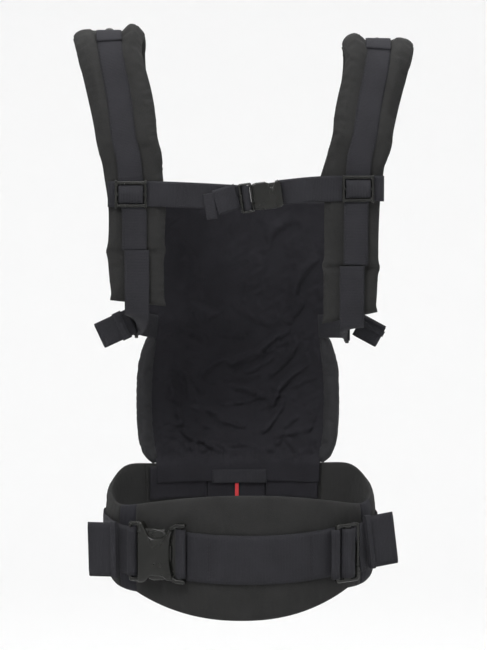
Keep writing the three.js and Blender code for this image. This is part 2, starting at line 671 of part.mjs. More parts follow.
function slider() {
  const [w, h] = [SLIDER.width / 2, SLIDER.height / 2];
  const outline = roundedOutline([-w, w], [-h, h], 2.5);
  const inside = w - SLIDER.rail;
  outline.holes.push(roundedOutline([-inside, inside], [SLIDER.bar / 2, h - 3.4], 0.8));
  outline.holes.push(roundedOutline([-inside, inside], [3.4 - h, -SLIDER.bar / 2], 0.8));
  return plate(outline, SLIDER.depth, 0.4);
}

function addChestStrap() {
  const { width, thickness } = CHEST_WEBBING;
  const padFace = STRAP.zoneY - STRAP.thickness / 2;
  const webbingY = padFace - GAP - thickness / 2;
  const sliderY = padFace - thickness - 3 * GAP - STRAP_WEBBING.thickness - SLIDER.depth / 2;
  const [left, right] = SHOULDERS;
  const ends = {
    left: [[CHEST_REACH.left, left.sliderZ], [-84, left.sliderZ], [-45, left.sliderZ - 1.5], [-4, 348.3]],
    right: [[39, 354.4], [66, 357], [88, right.sliderZ], [CHEST_REACH.right, right.sliderZ]],
  };
  for (const shoulder of SHOULDERS) {
    const { side, sliderZ, zoneX, webbingShift } = shoulder;
    addPiece(`chest_slider_${side}`, slider(), 'plastic').position.set(zoneX + webbingShift, sliderY, sliderZ);
    const points = ends[side].map(([x, z]) => [x, webbingY, z, 90]);
    addPiece(`chest_webbing_${side}`, ribbon(points, width, thickness, 14), 'webbing');
  }

  const buckle = new THREE.Group();
  buckle.position.set(CHEST_BUCKLE.x, CHEST_BUCKLE.y - 2.2, CHEST_BUCKLE.z);
  buckle.rotation.y = -THREE.MathUtils.degToRad(CHEST_BUCKLE.tilt);
  carrier.add(buckle);
  addBuckle(buckle, 'chest_buckle', SMALL_BUCKLE, -1);

  // Folded free end below the webbing, and the elastic that gathers it.
  const y = webbingY - thickness / 2 - GAP - 1.6;
  const tail = [[-9, y, 350, 90], [-20, y, 345.5, 90], [-33, y, 341, 90]];
  addPiece('chest_tail', ribbon(tail, 23, 3.2, 4), 'webbing');
  const outer = block([-33, -23], [y - 3.9, y + 1.5], [327.4, 359]);
  const hollow = block([-40, -10], [y - 2.7, y + 8], [328.8, 357.6]);
  addPiece('chest_keeper', toGeometry(outer.subtract(hollow)), 'webbing');
}

// ---------------------------------------------------------------- assembly

addBelt();
addBaseFlaps();
addPanel();
addNeckSupport();
SHOULDERS.forEach(addShoulder);
addWaistHardware();
addChestStrap();

export default carrier;
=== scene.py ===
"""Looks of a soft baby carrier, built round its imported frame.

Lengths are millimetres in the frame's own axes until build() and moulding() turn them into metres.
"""

import math

import bpy
import numpy as np
from mathutils import Matrix, Vector


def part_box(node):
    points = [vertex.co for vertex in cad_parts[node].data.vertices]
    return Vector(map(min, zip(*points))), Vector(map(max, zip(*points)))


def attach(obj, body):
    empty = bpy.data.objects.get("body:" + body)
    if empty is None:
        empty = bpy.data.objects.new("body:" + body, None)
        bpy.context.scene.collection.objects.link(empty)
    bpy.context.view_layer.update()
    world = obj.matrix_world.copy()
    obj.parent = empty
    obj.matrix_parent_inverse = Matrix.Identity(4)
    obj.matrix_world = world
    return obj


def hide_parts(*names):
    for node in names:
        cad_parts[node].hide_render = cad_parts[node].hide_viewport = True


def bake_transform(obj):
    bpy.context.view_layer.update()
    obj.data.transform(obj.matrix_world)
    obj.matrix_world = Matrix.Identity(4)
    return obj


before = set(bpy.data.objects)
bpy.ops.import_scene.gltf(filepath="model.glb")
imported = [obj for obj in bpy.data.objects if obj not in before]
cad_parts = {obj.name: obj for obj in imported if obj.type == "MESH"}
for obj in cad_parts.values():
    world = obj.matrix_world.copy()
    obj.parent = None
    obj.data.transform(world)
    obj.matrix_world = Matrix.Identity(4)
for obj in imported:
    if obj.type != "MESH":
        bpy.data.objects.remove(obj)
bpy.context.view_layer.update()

MM = 0.001
UP = np.array([0.0, 0.0, 1.0])
ACROSS = np.array([1.0, 0.0, 0.0])


# ------------------------------------------------------------------ sizes from the frame

def box_mm(node):
    """Lowest and highest corner of a CAD node, in millimetres."""
    low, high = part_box(node)
    return np.array(low) / MM, np.array(high) / MM


LINING_TOP = box_mm("panel_lining")[1][2]

# The waist ring's plan is |x/a|^n + |y/b|^n = 1 through the middle of the padding.
RING_A, RING_B, RING_N = 130.4, 94.0, 2.3
BELT_THICKNESS = 10.0
BELT_SIDE = (56.5, -28.0)
BELT_BACK = (66.0, -34.0)
LUMBAR_X = (-104.0, 116.0)
LUMBAR_THICKNESS = 12.5
STRIP_X = (-119.0, 127.0)
JOIN_X = (-97.0, 87.0)

PANEL_FOOT = 60.5
LINING_FOOT = 47.0
TAB_HEIGHT = 209.0

WAIST_WEB = (48.0, 1.8)
STRAP_WEB = (24.0, 1.5)
CHEST_WEB = (25.0, 1.4)

HALF_WIDTH = [(67, 84), (80, 88), (100, 90.5), (131, 91.5), (165, 90.5), (185, 88), (200, 87.5), (215, 89.5),
              (235, 95), (265, 102), (300, 108), (340, 110)]
DEPTH = [(67, 95), (90, 110), (115, 120), (150, 124), (190, 117), (240, 104), (290, 92), (340, 84)]
CURL = [(67, 17), (100, 30), (150, 38), (200, 30), (250, 20), (340, 10)]

STRAP_THICKNESS = 13.0
ZONE_TOP, ZONE_BOTTOM, ZONE_Y = 387.0, 290.0, -50.0
SHOULDERS = [
    dict(side="left", sign=-1, zone_x=-105.0, end=(-102.5, -51, 246), shift=-3.5, seam=297.0, slider=353.0,
         adjuster=(-104, 0, 222), tail=((-110, -19, 224.5), (-141.5, -21, 210)), hem_slope=-0.17,
         webbing=[(297, -0.4), (335, -0.4), (366, -3.5), (387, -4.6), (480, 0), (520, 0)],
         widths=[(0, 47), (0.1, 54), (0.2, 60), (0.335, 60), (0.449, 70), (0.525, 62), (0.62, 62),
                 (0.734, 58),
                 (0.857, 55), (0.905, 55), (1, 51)],
         sway=[(246, 0.5), (290, 1), (340, 2.4), (377, -1.5), (395, -1.5), (420, 0)],
         over=[(-90, 90, 296), (-96, 87.5, 322), (-103, 84.5, 345), (-112, 70, 400), (-121, 52, 452),
               (-128, 26, 494), (-130, 0, 505),
               (-128.5, -22, 488), (-117, -40, 440), (-111, -48.5, 405)]),
    dict(side="right", sign=1, zone_x=109.0, end=(106.5, -51, 231), shift=3.5, seam=281.0, slider=358.0,
         adjuster=(106, 0, 216), tail=((133, -19.5, 225), (121.5, -21.5, 204)), hem_slope=0.25,
         webbing=[(281, 1.8), (335, 1.8), (366, 3.5), (387, 3.8), (480, 0), (520, 0)],
         widths=[(0, 47), (0.12, 52), (0.335, 58), (0.449, 70), (0.525, 62), (0.62, 60), (0.734, 56),
                 (0.857, 53),
                 (0.924, 53), (1, 51)],
         sway=[(231, -1), (290, -2), (345, -1.5), (375, 1), (395, 2), (420, 0)],
         over=[(90, 90, 296), (97, 87.5, 322), (106, 84.5, 345), (122, 70, 398), (130, 52, 446),
               (136, 26, 484), (136, 0, 497),
               (134, -22, 480), (122.5, -40, 437), (115.5, -48.5, 405)]),
]

WAIST_BUCKLE = dict(at=(-85.0, -91.5, 6.5), yaw=-20.0)
WAIST_ADJUSTER = dict(at=(101.5, -84.5, 3.5), yaw=33.0)
CHEST_BUCKLE = dict(at=(12.5, -62.7, 350.5), tilt=8.0)


# ------------------------------------------------------------------ numbers

def mix(a, b, t):
    return a + (b - a) * t


def smooth(x, low, high):
    t = np.clip((x - low) / (high - low), 0.0, 1.0)
    return t * t * (3 - 2 * t)


def profile(pairs, x):
    """Smooth value at x through [x, value] pairs, as the CAD has it."""
    xs = np.array([p[0] for p in pairs], float)
    ys = np.array([p[1] for p in pairs], float)
    before = np.maximum(np.arange(len(xs)) - 1, 0)
    after = np.minimum(np.arange(len(xs)) + 1, len(xs) - 1)
    slopes = (ys[after] - ys[before]) / (xs[after] - xs[before])
    x = np.clip(np.asarray(x, float), xs[0], xs[-1])
    i = np.clip(np.searchsorted(xs, x, side="right") - 1, 0, len(xs) - 2)
    h = xs[i + 1] - xs[i]
    t = (x - xs[i]) / h
    rise = ys[i] * (1 + 2 * t) * (1 - t) ** 2 + ys[i + 1] * t * t * (3 - 2 * t)
    return rise + h * (slopes[i] * t * (1 - t) ** 2 - slopes[i + 1] * t * t * (1 - t))


def unit(v):
    v = np.asarray(v, float)
    return v / np.maximum(np.linalg.norm(v, axis=-1, keepdims=True), 1e-9)


def smooth_path(points, steps):
    """Centripetal Catmull-Rom curve through points, evenly spaced, steps + 1 of them."""
    p = np.asarray(points, float)
    p = np.vstack([2 * p[0] - p[1], p, 2 * p[-1] - p[-2]])
    dense = []
    for i in range(1, len(p) - 2):
        knots = [0.0]
        for k in range(i - 1, i + 2):
            knots.append(knots[-1] + max(np.linalg.norm(p[k + 1] - p[k]) ** 0.5, 1e-6))
        t = np.linspace(knots[1], knots[2], 24, endpoint=False)[:, None]
        a = [((knots[j + 1] - t) * p[i - 1 + j] + (t - knots[j]) * p[i + j]) / (knots[j + 1] - knots[j])
             for j in range(3)]
        b = [((knots[j + 2] - t) * a[j] + (t - knots[j]) * a[j + 1]) / (knots[j + 2] - knots[j])
             for j in range(2)]
        dense.append(((knots[2] - t) * b[0] + (t - knots[1]) * b[1]) / (knots[2] - knots[1]))
    dense = np.vstack(dense + [p[-2][None]])
    return resample(dense, steps)


def resample(points, steps):
    points = np.asarray(points, float)
    run = np.concatenate([[0], np.cumsum(np.linalg.norm(np.diff(points, axis=0), axis=1))])
    at = np.linspace(0, run[-1], steps + 1)
    return np.stack([np.interp(at, run, points[:, k]) for k in range(3)], axis=1)


def length_of(points):
    return float(np.linalg.norm(np.diff(points, axis=0), axis=1).sum())


def ripple(u, v, seed, scale, octaves=4):
    """Even noise from -1 to 1 over a surface measured in millimetres: a sum of seeded waves."""
    rng = np.random.default_rng(seed)
    total, weight = np.zeros(np.broadcast(u, v).shape), 0.0
    for octave in range(octaves):
        size = scale / 1.8 ** octave
        for _ in range(5):
            angle, phase = rng.uniform(0, 2 * math.pi, 2)
            k = 2 * math.pi / (size * rng.uniform(0.8, 1.3))
            total = total + np.sin(k * (u * math.cos(angle) + v * math.sin(angle)) + phase) / 1.9 ** octave
        weight += 5 / 1.9 ** octave
    return total / weight * 2.2


def crease(u, v, line):
    """Height of one soft fold along a line (u0, v0, u1, v1, half width, height, bow)."""
    u0, v0, u1, v1, half, height, bow = line
    along = np.array([u1 - u0, v1 - v0], float)
    run = np.linalg.norm(along)
    along = along / run
    s = ((u - u0) * along[0] + (v - v0) * along[1]) / run
    off = -(u - u0) * along[1] + (v - v0) * along[0] - bow * 4 * s * (1 - s)
    fade = smooth(s, -0.08, 0.22) * (1 - smooth(s, 0.78, 1.08))
    shadow = 0.55 * np.exp(-((off - 1.7 * half) / (1.1 * half)) ** 2)
    return height * fade * (np.exp(-(off / half) ** 2) - shadow)


# ------------------------------------------------------------------ the belt ring

def ring_parameter(x, at_panel=False):
    t = math.asin((abs(x) / RING_A) ** (RING_N / 2))
    return math.copysign(1, x) * ((math.pi - t) if at_panel else t)


def ring(t, offset):
    """Plan points and outward directions of the ring at parameters t, moved out by offset."""
    t = np.asarray(t, float)
    power = 2 / RING_N
    x = RING_A * np.sign(np.sin(t)) * np.abs(np.sin(t)) ** power
    y = -RING_B * np.sign(np.cos(t)) * np.abs(np.cos(t)) ** power
    out = np.stack([np.sign(x) * np.abs(x / RING_A) ** (RING_N - 1) / RING_A,
                    np.sign(y) * np.abs(y / RING_B) ** (RING_N - 1) / RING_B, 0 * x], axis=-1)
    out = unit(out)
    return np.stack([x, y, 0 * x], axis=-1) + out * np.asarray(offset)[..., None], out


def ring_run(t0, t1, steps, offset=0.0):
    """Ring parameters between t0 and t1 that are evenly spaced along the ring."""
    dense = np.linspace(t0, t1, 600)
    points, _ = ring(dense, np.full(600, offset))
    run = np.concatenate([[0], np.cumsum(np.linalg.norm(np.diff(points, axis=0), axis=1))])
    return np.interp(np.linspace(0, run[-1], steps + 1), run, dense)


def belt_span(t):
    """Top and bottom height of the padded belt."""
    points, _ = ring(t, np.zeros(np.shape(t)))
    x, y = points[..., 0], points[..., 1]
    top = 62.0 - 13 * (np.abs(x) / 105) ** 2.2
    bottom = -61.5 + np.where(x < 0, 21.5, 24.5) * (np.abs(x) / 100) ** 2.2
    bottom = np.minimum(bottom, np.where(x < 0, -38.0, -35.5))
    ease, back = smooth(y, -60, 15), smooth(y, 0, 75)
    corner = 5.5 * np.exp(-((y - 53) / 20) ** 2)
    return (mix(top, mix(BELT_SIDE[0], BELT_BACK[0], back), ease) + corner,
            mix(bottom, mix(BELT_SIDE[1], BELT_BACK[1], back), ease))


# ------------------------------------------------------------------ mesh building

def build(name, points, faces, material, uvs=None, smooth_shading=True):
    mesh = bpy.data.meshes.new(name)
    mesh.from_pydata([tuple(p) for p in np.asarray(points) * MM], [], [tuple(map(int, f)) for f in faces])
    if uvs is not None:
        layer = mesh.uv_layers.new(name="millimetres")
        loops = np.zeros(len(mesh.loops), int)
        mesh.loops.foreach_get("vertex_index", loops)
        layer.data.foreach_set("uv", (np.asarray(uvs)[loops]).astype(np.float32).ravel())
    mesh.materials.append(material)
    mesh.update()
    obj = bpy.data.objects.new(name, mesh)
    bpy.context.scene.collection.objects.link(obj)
    if smooth_shading:
        mesh.polygons.foreach_set("use_smooth", [True] * len(mesh.polygons))
    fix_normals(obj)
    return obj


def fix_normals(obj):
    """Turns every face outwards."""
    import bmesh
    work = bmesh.new()
    work.from_mesh(obj.data)
    bmesh.ops.recalc_face_normals(work, faces=work.faces)
    work.to_mesh(obj.data)
    work.free()


def grid_faces(rows, cols, closed):
    """Quads over rows x cols points; closed joins the last column to the first."""
    faces = []
    for i in range(rows - 1):
        for j in range(cols if closed else cols - 1):
            k = (j + 1) % cols
            faces.append((i * cols + j, i * cols + k, (i + 1) * cols + k, (i + 1) * cols + j))
    return faces


def seam_points(rows, cols, end_rows=2):
    """Vertices of a padded tube that its seams hold: both edges and both ends."""
    edge = [0, cols // 2 - 1, cols // 2, cols - 1]
    held = [i * cols + j for i in range(rows) for j in edge]
    for i in list(range(end_rows)) + list(range(rows - end_rows, rows)):
        held += [i * cols + j for j in range(cols)]
    return sorted(set(held))


def tube(name, rings, material, uvs=None):
    """Closed body through rings of points, ends closed by a strip of quads across each ring."""
    rows, cols = rings.shape[:2]
    faces = grid_faces(rows, cols, True)
    for start, flip in ((0, True), ((rows - 1) * cols, False)):
        for j in range(cols // 2 - 1):
            quad = [start + j, start + j + 1, start + cols - 2 - j, start + cols - 1 - j]
            faces.append(quad[::-1] if flip else quad)
    flat_uv = uvs.reshape(-1, 2) if uvs is not None else None
    return build(name, rings.reshape(-1, 3), faces, material, flat_uv)


def frames(points, across=ACROSS):
    """Along, wide and out directions for points on a path, wide as near to across as can be."""
    along = unit(np.gradient(points, axis=0))
    across = np.broadcast_to(np.asarray(across, float), points.shape)
    wide = unit(across - along * (across * along).sum(1, keepdims=True))
    return along, wide, np.cross(along, wide)


def pad_rings(points, wide, out, widths, thickness, count=56, fullness=0.5, seam=1.0, wrinkle=None, ends=7.0):
    """Rings of a padded strip: crowned both sides, thin at the sewn edges and at both ends.

    The first and last columns of each ring are its two edges; wrinkle(u, v) adds to the outer face.
    """
    half = count // 2
    across = np.cos(np.linspace(math.pi, 0, half + 1))
    run = np.concatenate([[0], np.cumsum(np.linalg.norm(np.diff(points, axis=0), axis=1))])
    close = np.minimum(run, run[-1] - run)
    end_shape = np.sqrt(np.clip(1 - (1 - np.clip(close / ends, 0, 1)) ** 2, 0.02, 1))
    rings, uvs = [], []
    for i in range(len(points)):
        crown = np.clip(1 - np.abs(across) ** 3.4, 0, 1) ** fullness
        body = (thickness[i] / 2 - seam / 2) * crown * end_shape[i] + seam / 2
        v = across * widths[i] / 2
        front = body.copy()
        back = body.copy()
        if wrinkle is not None:
            front = front + wrinkle(np.full_like(v, run[i]), v) * crown * end_shape[i]
            back = back + 0.6 * wrinkle(np.full_like(v, run[i] + 900), v) * crown * end_shape[i]
        face = points[i] + v[:, None] * wide[i] + front[:, None] * out[i]
        under = points[i] + v[:, None] * wide[i] - back[:, None] * out[i]
        rings.append(np.vstack([face, under[::-1]]))
        around = np.concatenate([v, 2 * widths[i] - v[::-1]])
        uvs.append(np.stack([np.full(len(around), run[i]), around], axis=1))
    return np.array(rings), np.array(uvs)


def strip_rings(points, wide, out, width, thickness, columns=10, edge=0.5):
    """Rings of a flat woven strip with slightly rounded selvedges."""
    across = np.linspace(-1, 1, columns + 1)
    run = np.concatenate([[0], np.cumsum(np.linalg.norm(np.diff(points, axis=0), axis=1))])
    width = np.broadcast_to(width, len(points))
    thickness = np.broadcast_to(thickness, len(points))
    shape = np.where(np.abs(across) > 0.99, edge, 1.0)
    rings, uvs = [], []
    for i in range(len(points)):
        v = across * width[i] / 2
        rise = shape * thickness[i] / 2
        face = points[i] + v[:, None] * wide[i] + rise[:, None] * out[i]
        under = points[i] + v[:, None] * wide[i] - rise[:, None] * out[i]
        rings.append(np.vstack([face, under[::-1]]))
        around = np.concatenate([v, v[::-1] + 200])
        uvs.append(np.stack([np.full(len(around), run[i]), around], axis=1))
    return np.array(rings), np.array(uvs)


def webbing_strip(name, points, wide, out, width, thickness, material):
    rings, uvs = strip_rings(points, wide, out, width, thickness)
    return tube(name, rings, material, uvs)


def stitches(name, lines, material, pitch=3.6, length=2.5, radius=0.28):
    """Thread along lines, each (points, outward directions): one short rounded bar for each stitch."""
    points, faces = [], []
    for path, outs in lines:
        count = max(int(length_of(path) / pitch), 1)
        run = np.concatenate([[0], np.cumsum(np.linalg.norm(np.diff(path, axis=0), axis=1))])
        for k in range(count):
            middle = (k + 0.5) * run[-1] / count
            ends = [np.array([np.interp(middle + d, run, path[:, c]) for c in range(3)])
                    for d in (-length / 2, length / 2)]
            up = unit(np.array([np.interp(middle, run, outs[:, c]) for c in range(3)]))
            along = unit(ends[1] - ends[0])
            side = np.cross(along, up)
            start = len(points)
            for end, shrink in ((ends[0], 0.45), (mix(*ends, 0.2), 1), (mix(*ends, 0.8), 1), (ends[1], 0.45)):
                for k_side, k_up in ((-1, 0), (0, 1), (1, 0), (0, -0.6)):
                    points.append(end + radius * shrink * (k_side * side + k_up * up * 1.2))
            for seg in range(3):
                for j in range(4):
                    a, b = start + seg * 4 + j, start + seg * 4 + (j + 1) % 4
                    faces.append((a, b, b + 4, a + 4))
            faces.append((start + 3, start + 2, start + 1, start))
            faces.append((start + 12, start + 13, start + 14, start + 15))
    return build(name, points, faces, material, np.zeros((len(points), 2)))


def arc_corner(a, b, c, radius, steps=6):
    """Points that round the corner b between a and c."""
    a, b, c = map(lambda p: np.asarray(p, float), (a, b, c))
    u, w = unit(a - b), unit(c - b)
    angle = math.acos(np.clip(u @ w, -1, 1))
    cut = min(radius / math.tan(angle / 2), 0.48 * np.linalg.norm(a - b), 0.48 * np.linalg.norm(c - b))
    p, q = b + u * cut, b + w * cut
    t = np.linspace(0, 1, steps + 1)[:, None]
    return (1 - t) ** 2 * p + 2 * t * (1 - t) * b + t * t * q


def rounded(points, radius):
    """Closed outline with its corners rounded, by one radius or one for each corner."""
    n = len(points)
    radii = radius if isinstance(radius, (list, tuple)) else [radius] * n
    parts = [arc_corner(points[i - 1], points[i], points[(i + 1) % n], radii[i]) if radii[i]
             else np.array([points[i]], float) for i in range(n)]
    return np.vstack(parts)


def rectangle(x0, x1, z0, z1, radius):
    return rounded([(x0, z0), (x1, z0), (x1, z1), (x0, z1)], radius)


def moulding(name, loops, thickness, bevel, material, at=(0, 0, 0), turn=None, depth=0.0):
    """Plate with rounded edges from closed x-z outlines, the first the rim and the rest holes."""
    curve = bpy.data.curves.new(name, "CURVE")
    curve.dimensions = "2D"
    curve.fill_mode = "BOTH"
    curve.extrude = (thickness / 2 - bevel) * MM
    curve.bevel_depth = bevel * MM
    curve.bevel_resolution = 3
    curve.offset = -bevel * MM
    for loop in loops:
        spline = curve.splines.new("POLY")
        spline.points.add(len(loop) - 1)
        for point, (x, z) in zip(spline.points, loop):
            point.co = (x * MM, z * MM, 0, 1)
        spline.use_cyclic_u = True
    maker = bpy.data.objects.new(name, curve)
    bpy.context.scene.collection.objects.link(maker)
    evaluated = maker.evaluated_get(bpy.context.evaluated_depsgraph_get())
    mesh = bpy.data.meshes.new_from_object(evaluated)
    bpy.data.objects.remove(maker)
    stand = Matrix.Rotation(math.pi / 2, 4, "X") @ Matrix.Translation((0, 0, depth * MM))
    place = Matrix.Translation(Vector(at) * MM) @ (turn or Matrix.Identity(4))
    mesh.transform(place @ stand)
    mesh.materials.clear()
    mesh.materials.append(material)
    mesh.name = name
    obj = bpy.data.objects.new(name, mesh)
    bpy.context.scene.collection.objects.link(obj)
    weld(obj)
    return obj


def weld(obj):
    import bmesh
    work = bmesh.new()
    work.from_mesh(obj.data)
    bmesh.ops.remove_doubles(work, verts=work.verts, dist=1e-6)
    bmesh.ops.recalc_face_normals(work, faces=work.faces)
    for edge in work.edges:
        edge.smooth = len(edge.link_faces) == 2 and edge.calc_face_angle(0) < math.radians(38)
    for face in work.faces:
        face.smooth = True
    work.to_mesh(obj.data)
    work.free()


def join(name, objects):
    """One object holding the meshes of several."""
    bpy.ops.object.select_all(action="DESELECT")
    for obj in objects:
        obj.select_set(True)
    bpy.context.view_layer.objects.active = objects[0]
    bpy.ops.object.join()
    objects[0].name = name
    return objects[0]


def relax(obj, pins, growth, pressure, cap, steps=18, stiff=14.0, bend=0.6):
    """Lets a short cloth simulation pucker a piece between its held seams, then keeps the shape."""
    group = obj.vertex_groups.new(name="held")
    group.add([int(i) for i in pins], 1.0, "REPLACE")
    cloth = obj.modifiers.new("cloth", "CLOTH")
    settings = cloth.settings
    settings.vertex_group_mass = "held"
    settings.quality = 7
    settings.mass = 0.12
    settings.shrink_min = -growth
    settings.tension_stiffness = stiff
    settings.compression_stiffness = stiff
    settings.bending_stiffness = bend
    settings.use_pressure = pressure > 0
    settings.uniform_pressure_force = pressure
    settings.effector_weights.gravity = 0
    cloth.collision_settings.use_collision = False
    cloth.point_cache.frame_start = 1
    cloth.point_cache.frame_end = steps
    scene = bpy.context.scene
    for frame_number in range(1, steps + 1):
        scene.frame_set(frame_number)
    evaluated = obj.evaluated_get(bpy.context.evaluated_depsgraph_get())
    count = len(obj.data.vertices)
    start, moved = np.zeros(count * 3), np.zeros(count * 3)
    obj.data.vertices.foreach_get("co", start)
    evaluated.data.vertices.foreach_get("co", moved)
    step = (moved - start).reshape(-1, 3)
    size = np.linalg.norm(step, axis=1, keepdims=True)
    step = step * np.minimum(1, cap * MM / np.maximum(size, 1e-9))
    obj.modifiers.remove(cloth)
    obj.vertex_groups.remove(group)
    scene.frame_set(1)
    obj.data.vertices.foreach_set("co", start + step.ravel())
    obj.data.update()
    return obj


def finish_piece(obj, body, slot, *nodes, fill=None):
    if isinstance(body, str):
        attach(obj, body)
    else:
        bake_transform(obj)
    if nodes:
        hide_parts(*nodes)
    return obj


# ------------------------------------------------------------------ materials

def new_material(name):
    material = bpy.data.materials.new(name)
    material.use_nodes = True
    tree = material.node_tree
    return material, tree, tree.nodes["Principled BSDF"]


def node(tree, kind, **settings):
    made = tree.nodes.new(kind)
    for key, value in settings.items():
        if key in made.inputs:
            made.inputs[key].default_value = value
        else:
            setattr(made, key, value)
    return made


def weave_height(tree, source, pitch_u, pitch_v):
    """Over-and-under weave from two crossed waves of the coordinate in millimetres."""
    waves = []
    for axis, pitch in (("X", pitch_u), ("Y", pitch_v)):
        wave = node(tree, "ShaderNodeTexWave", wave_type="BANDS", bands_direction=axis)
        wave.inputs["Scale"].default_value = 1 / pitch * math.pi / 10
        wave.inputs["Distortion"].default_value = 0.25
        tree.links.new(source, wave.inputs["Vector"])
        waves.append(wave.outputs["Fac"])
    product = node(tree, "ShaderNodeMath", operation="MULTIPLY")
    tree.links.new(waves[0], product.inputs[0])
    tree.links.new(waves[1], product.inputs[1])
    return product.outputs[0]


def cloth_material(name, colour, variation, pitch, bump, rough, sheen, fuzz_scale=0.9):
    """Woven cloth: yarn bump, patchy dye, lighter lint and worn threads, soft sheen."""
    material, tree, shader = new_material(name)
    coordinate = node(tree, "ShaderNodeTexCoord")
    place = coordinate.outputs["UV"]
    weave = weave_height(tree, place, *pitch)
    patch = node(tree, "ShaderNodeTexNoise", Scale=38.0, Detail=4.0, Roughness=0.6)
    tree.links.new(coordinate.outputs["Object"], patch.inputs["Vector"])
    slub = node(tree, "ShaderNodeTexNoise", Scale=fuzz_scale, Detail=3.0, Roughness=0.7)
    tree.links.new(place, slub.inputs["Vector"])
    total = node(tree, "ShaderNodeMath", operation="MULTIPLY_ADD")
    tree.links.new(patch.outputs["Fac"], total.inputs[0])
    total.inputs[1].default_value = 0.6
    tree.links.new(slub.outputs["Fac"], total.inputs[2])
    shade = node(tree, "ShaderNodeMath", operation="MULTIPLY_ADD")
    tree.links.new(weave, shade.inputs[0])
    shade.inputs[1].default_value = 0.25
    tree.links.new(total.outputs[0], shade.inputs[2])
    ramp = node(tree, "ShaderNodeValToRGB")
    ramp.color_ramp.elements[0].position = 0.55
    ramp.color_ramp.elements[1].position = 1.15
    dark = [c * (1 - variation) for c in colour]
    light = [c * (1 + variation) for c in colour]
    ramp.color_ramp.elements[0].color = (*dark, 1)
    ramp.color_ramp.elements[1].color = (*light, 1)
    tree.links.new(shade.outputs[0], ramp.inputs["Fac"])
    tree.links.new(ramp.outputs["Color"], shader.inputs["Base Color"])
    bumps = node(tree, "ShaderNodeBump", Strength=bump, Distance=0.0004)
    lumps = node(tree, "ShaderNodeBump", Strength=bump * 0.5, Distance=0.0009)
    tree.links.new(weave, bumps.inputs["Height"])
    tree.links.new(slub.outputs["Fac"], lumps.inputs["Height"])
    tree.links.new(lumps.outputs["Normal"], bumps.inputs["Normal"])
    tree.links.new(bumps.outputs["Normal"], shader.inputs["Normal"])
    shader.inputs["Roughness"].default_value = rough
    shader.inputs["Sheen Weight"].default_value = sheen
    shader.inputs["Sheen Roughness"].default_value = 0.45
    shader.inputs["Specular IOR Level"].default_value = 0.10
    return material


def plastic_material(name, colour, rough):
    """Moulded acetal: fine grain and faint flow patches, which also vary its gloss."""
    material, tree, shader = new_material(name)
    coordinate = node(tree, "ShaderNodeTexCoord")
    grain = node(tree, "ShaderNodeTexNoise", Scale=900.0, Detail=2.0)
    flow = node(tree, "ShaderNodeTexNoise", Scale=45.0, Detail=3.0)
    for texture in (grain, flow):
        tree.links.new(coordinate.outputs["Object"], texture.inputs["Vector"])
    ramp = node(tree, "ShaderNodeValToRGB")
    ramp.color_ramp.elements[0].position = 0.3
    ramp.color_ramp.elements[1].position = 0.75
    ramp.color_ramp.elements[0].color = (*[c * 0.8 for c in colour], 1)
    ramp.color_ramp.elements[1].color = (*[c * 1.25 for c in colour], 1)
    tree.links.new(flow.outputs["Fac"], ramp.inputs["Fac"])
    tree.links.new(ramp.outputs["Color"], shader.inputs["Base Color"])
    gloss = node(tree, "ShaderNodeMapRange")
    gloss.inputs["To Min"].default_value = rough - 0.06
    gloss.inputs["To Max"].default_value = rough + 0.1
    tree.links.new(flow.outputs["Fac"], gloss.inputs["Value"])
    tree.links.new(gloss.outputs["Result"], shader.inputs["Roughness"])
    shader.inputs["Specular IOR Level"].default_value = 0.32
    bumps = node(tree, "ShaderNodeBump", Strength=0.12, Distance=0.0002)
    tree.links.new(grain.outputs["Fac"], bumps.inputs["Height"])
    tree.links.new(bumps.outputs["Normal"], shader.inputs["Normal"])
    return material


CANVAS = cloth_material("canvas", (0.0186, 0.0186, 0.0183), 0.30, (0.9, 0.9), 0.6, 0.88, 0.02)
LINING = cloth_material("lining", (0.0142, 0.0138, 0.0164), 0.28, (0.55, 0.55), 0.30, 0.92, 0.015)
WEBBING = cloth_material("webbing", (0.0188, 0.0187, 0.0216), 0.26, (1.5, 1.1), 0.9, 0.78, 0.02)
FACING = cloth_material("facing", (0.0170, 0.0170, 0.0205), 0.25, (0.7, 0.7), 0.4, 0.9, 0.02)
SEAT_CLOTH = cloth_material("seat_cloth", (0.0228, 0.0228, 0.0244), 0.28, (0.8, 0.8), 0.5, 0.88, 0.02)
THREAD = cloth_material("thread", (0.013, 0.013, 0.015), 0.2, (0.4, 0.4), 0.3, 0.7, 0.05)
LABEL = cloth_material("label", (0.40, 0.035, 0.040), 0.2, (0.5, 0.5), 0.4, 0.8, 0.1)
PLASTIC = plastic_material("plastic", (0.0060, 0.0062, 0.0052), 0.24)


# ------------------------------------------------------------------ belt

def belt_piece(name, t0, t1, material, slot, nodes, thickness, steps, seed, fill, ends=6.0, puff=0.8):
    t = ring_run(t0, t1, steps)
    top, bottom = belt_span(t)
    points, out = ring(t, np.zeros(len(t)))
    points[:, 2] = (top + bottom) / 2
    wide = np.broadcast_to(UP, points.shape)

    def wrinkle(u, v):
        return puff * ripple(u, v * 1.6, seed, 46) + 0.35 * ripple(u * 2.4, v, seed + 1, 15, 2)

    rings, uvs = pad_rings(points, wide, out, top - bottom, np.full(len(t), thickness), wrinkle=wrinkle,
                           ends=ends)
    piece = tube(name, rings, material, uvs)
    return finish_piece(piece, "carrier", slot, *nodes, fill=fill)


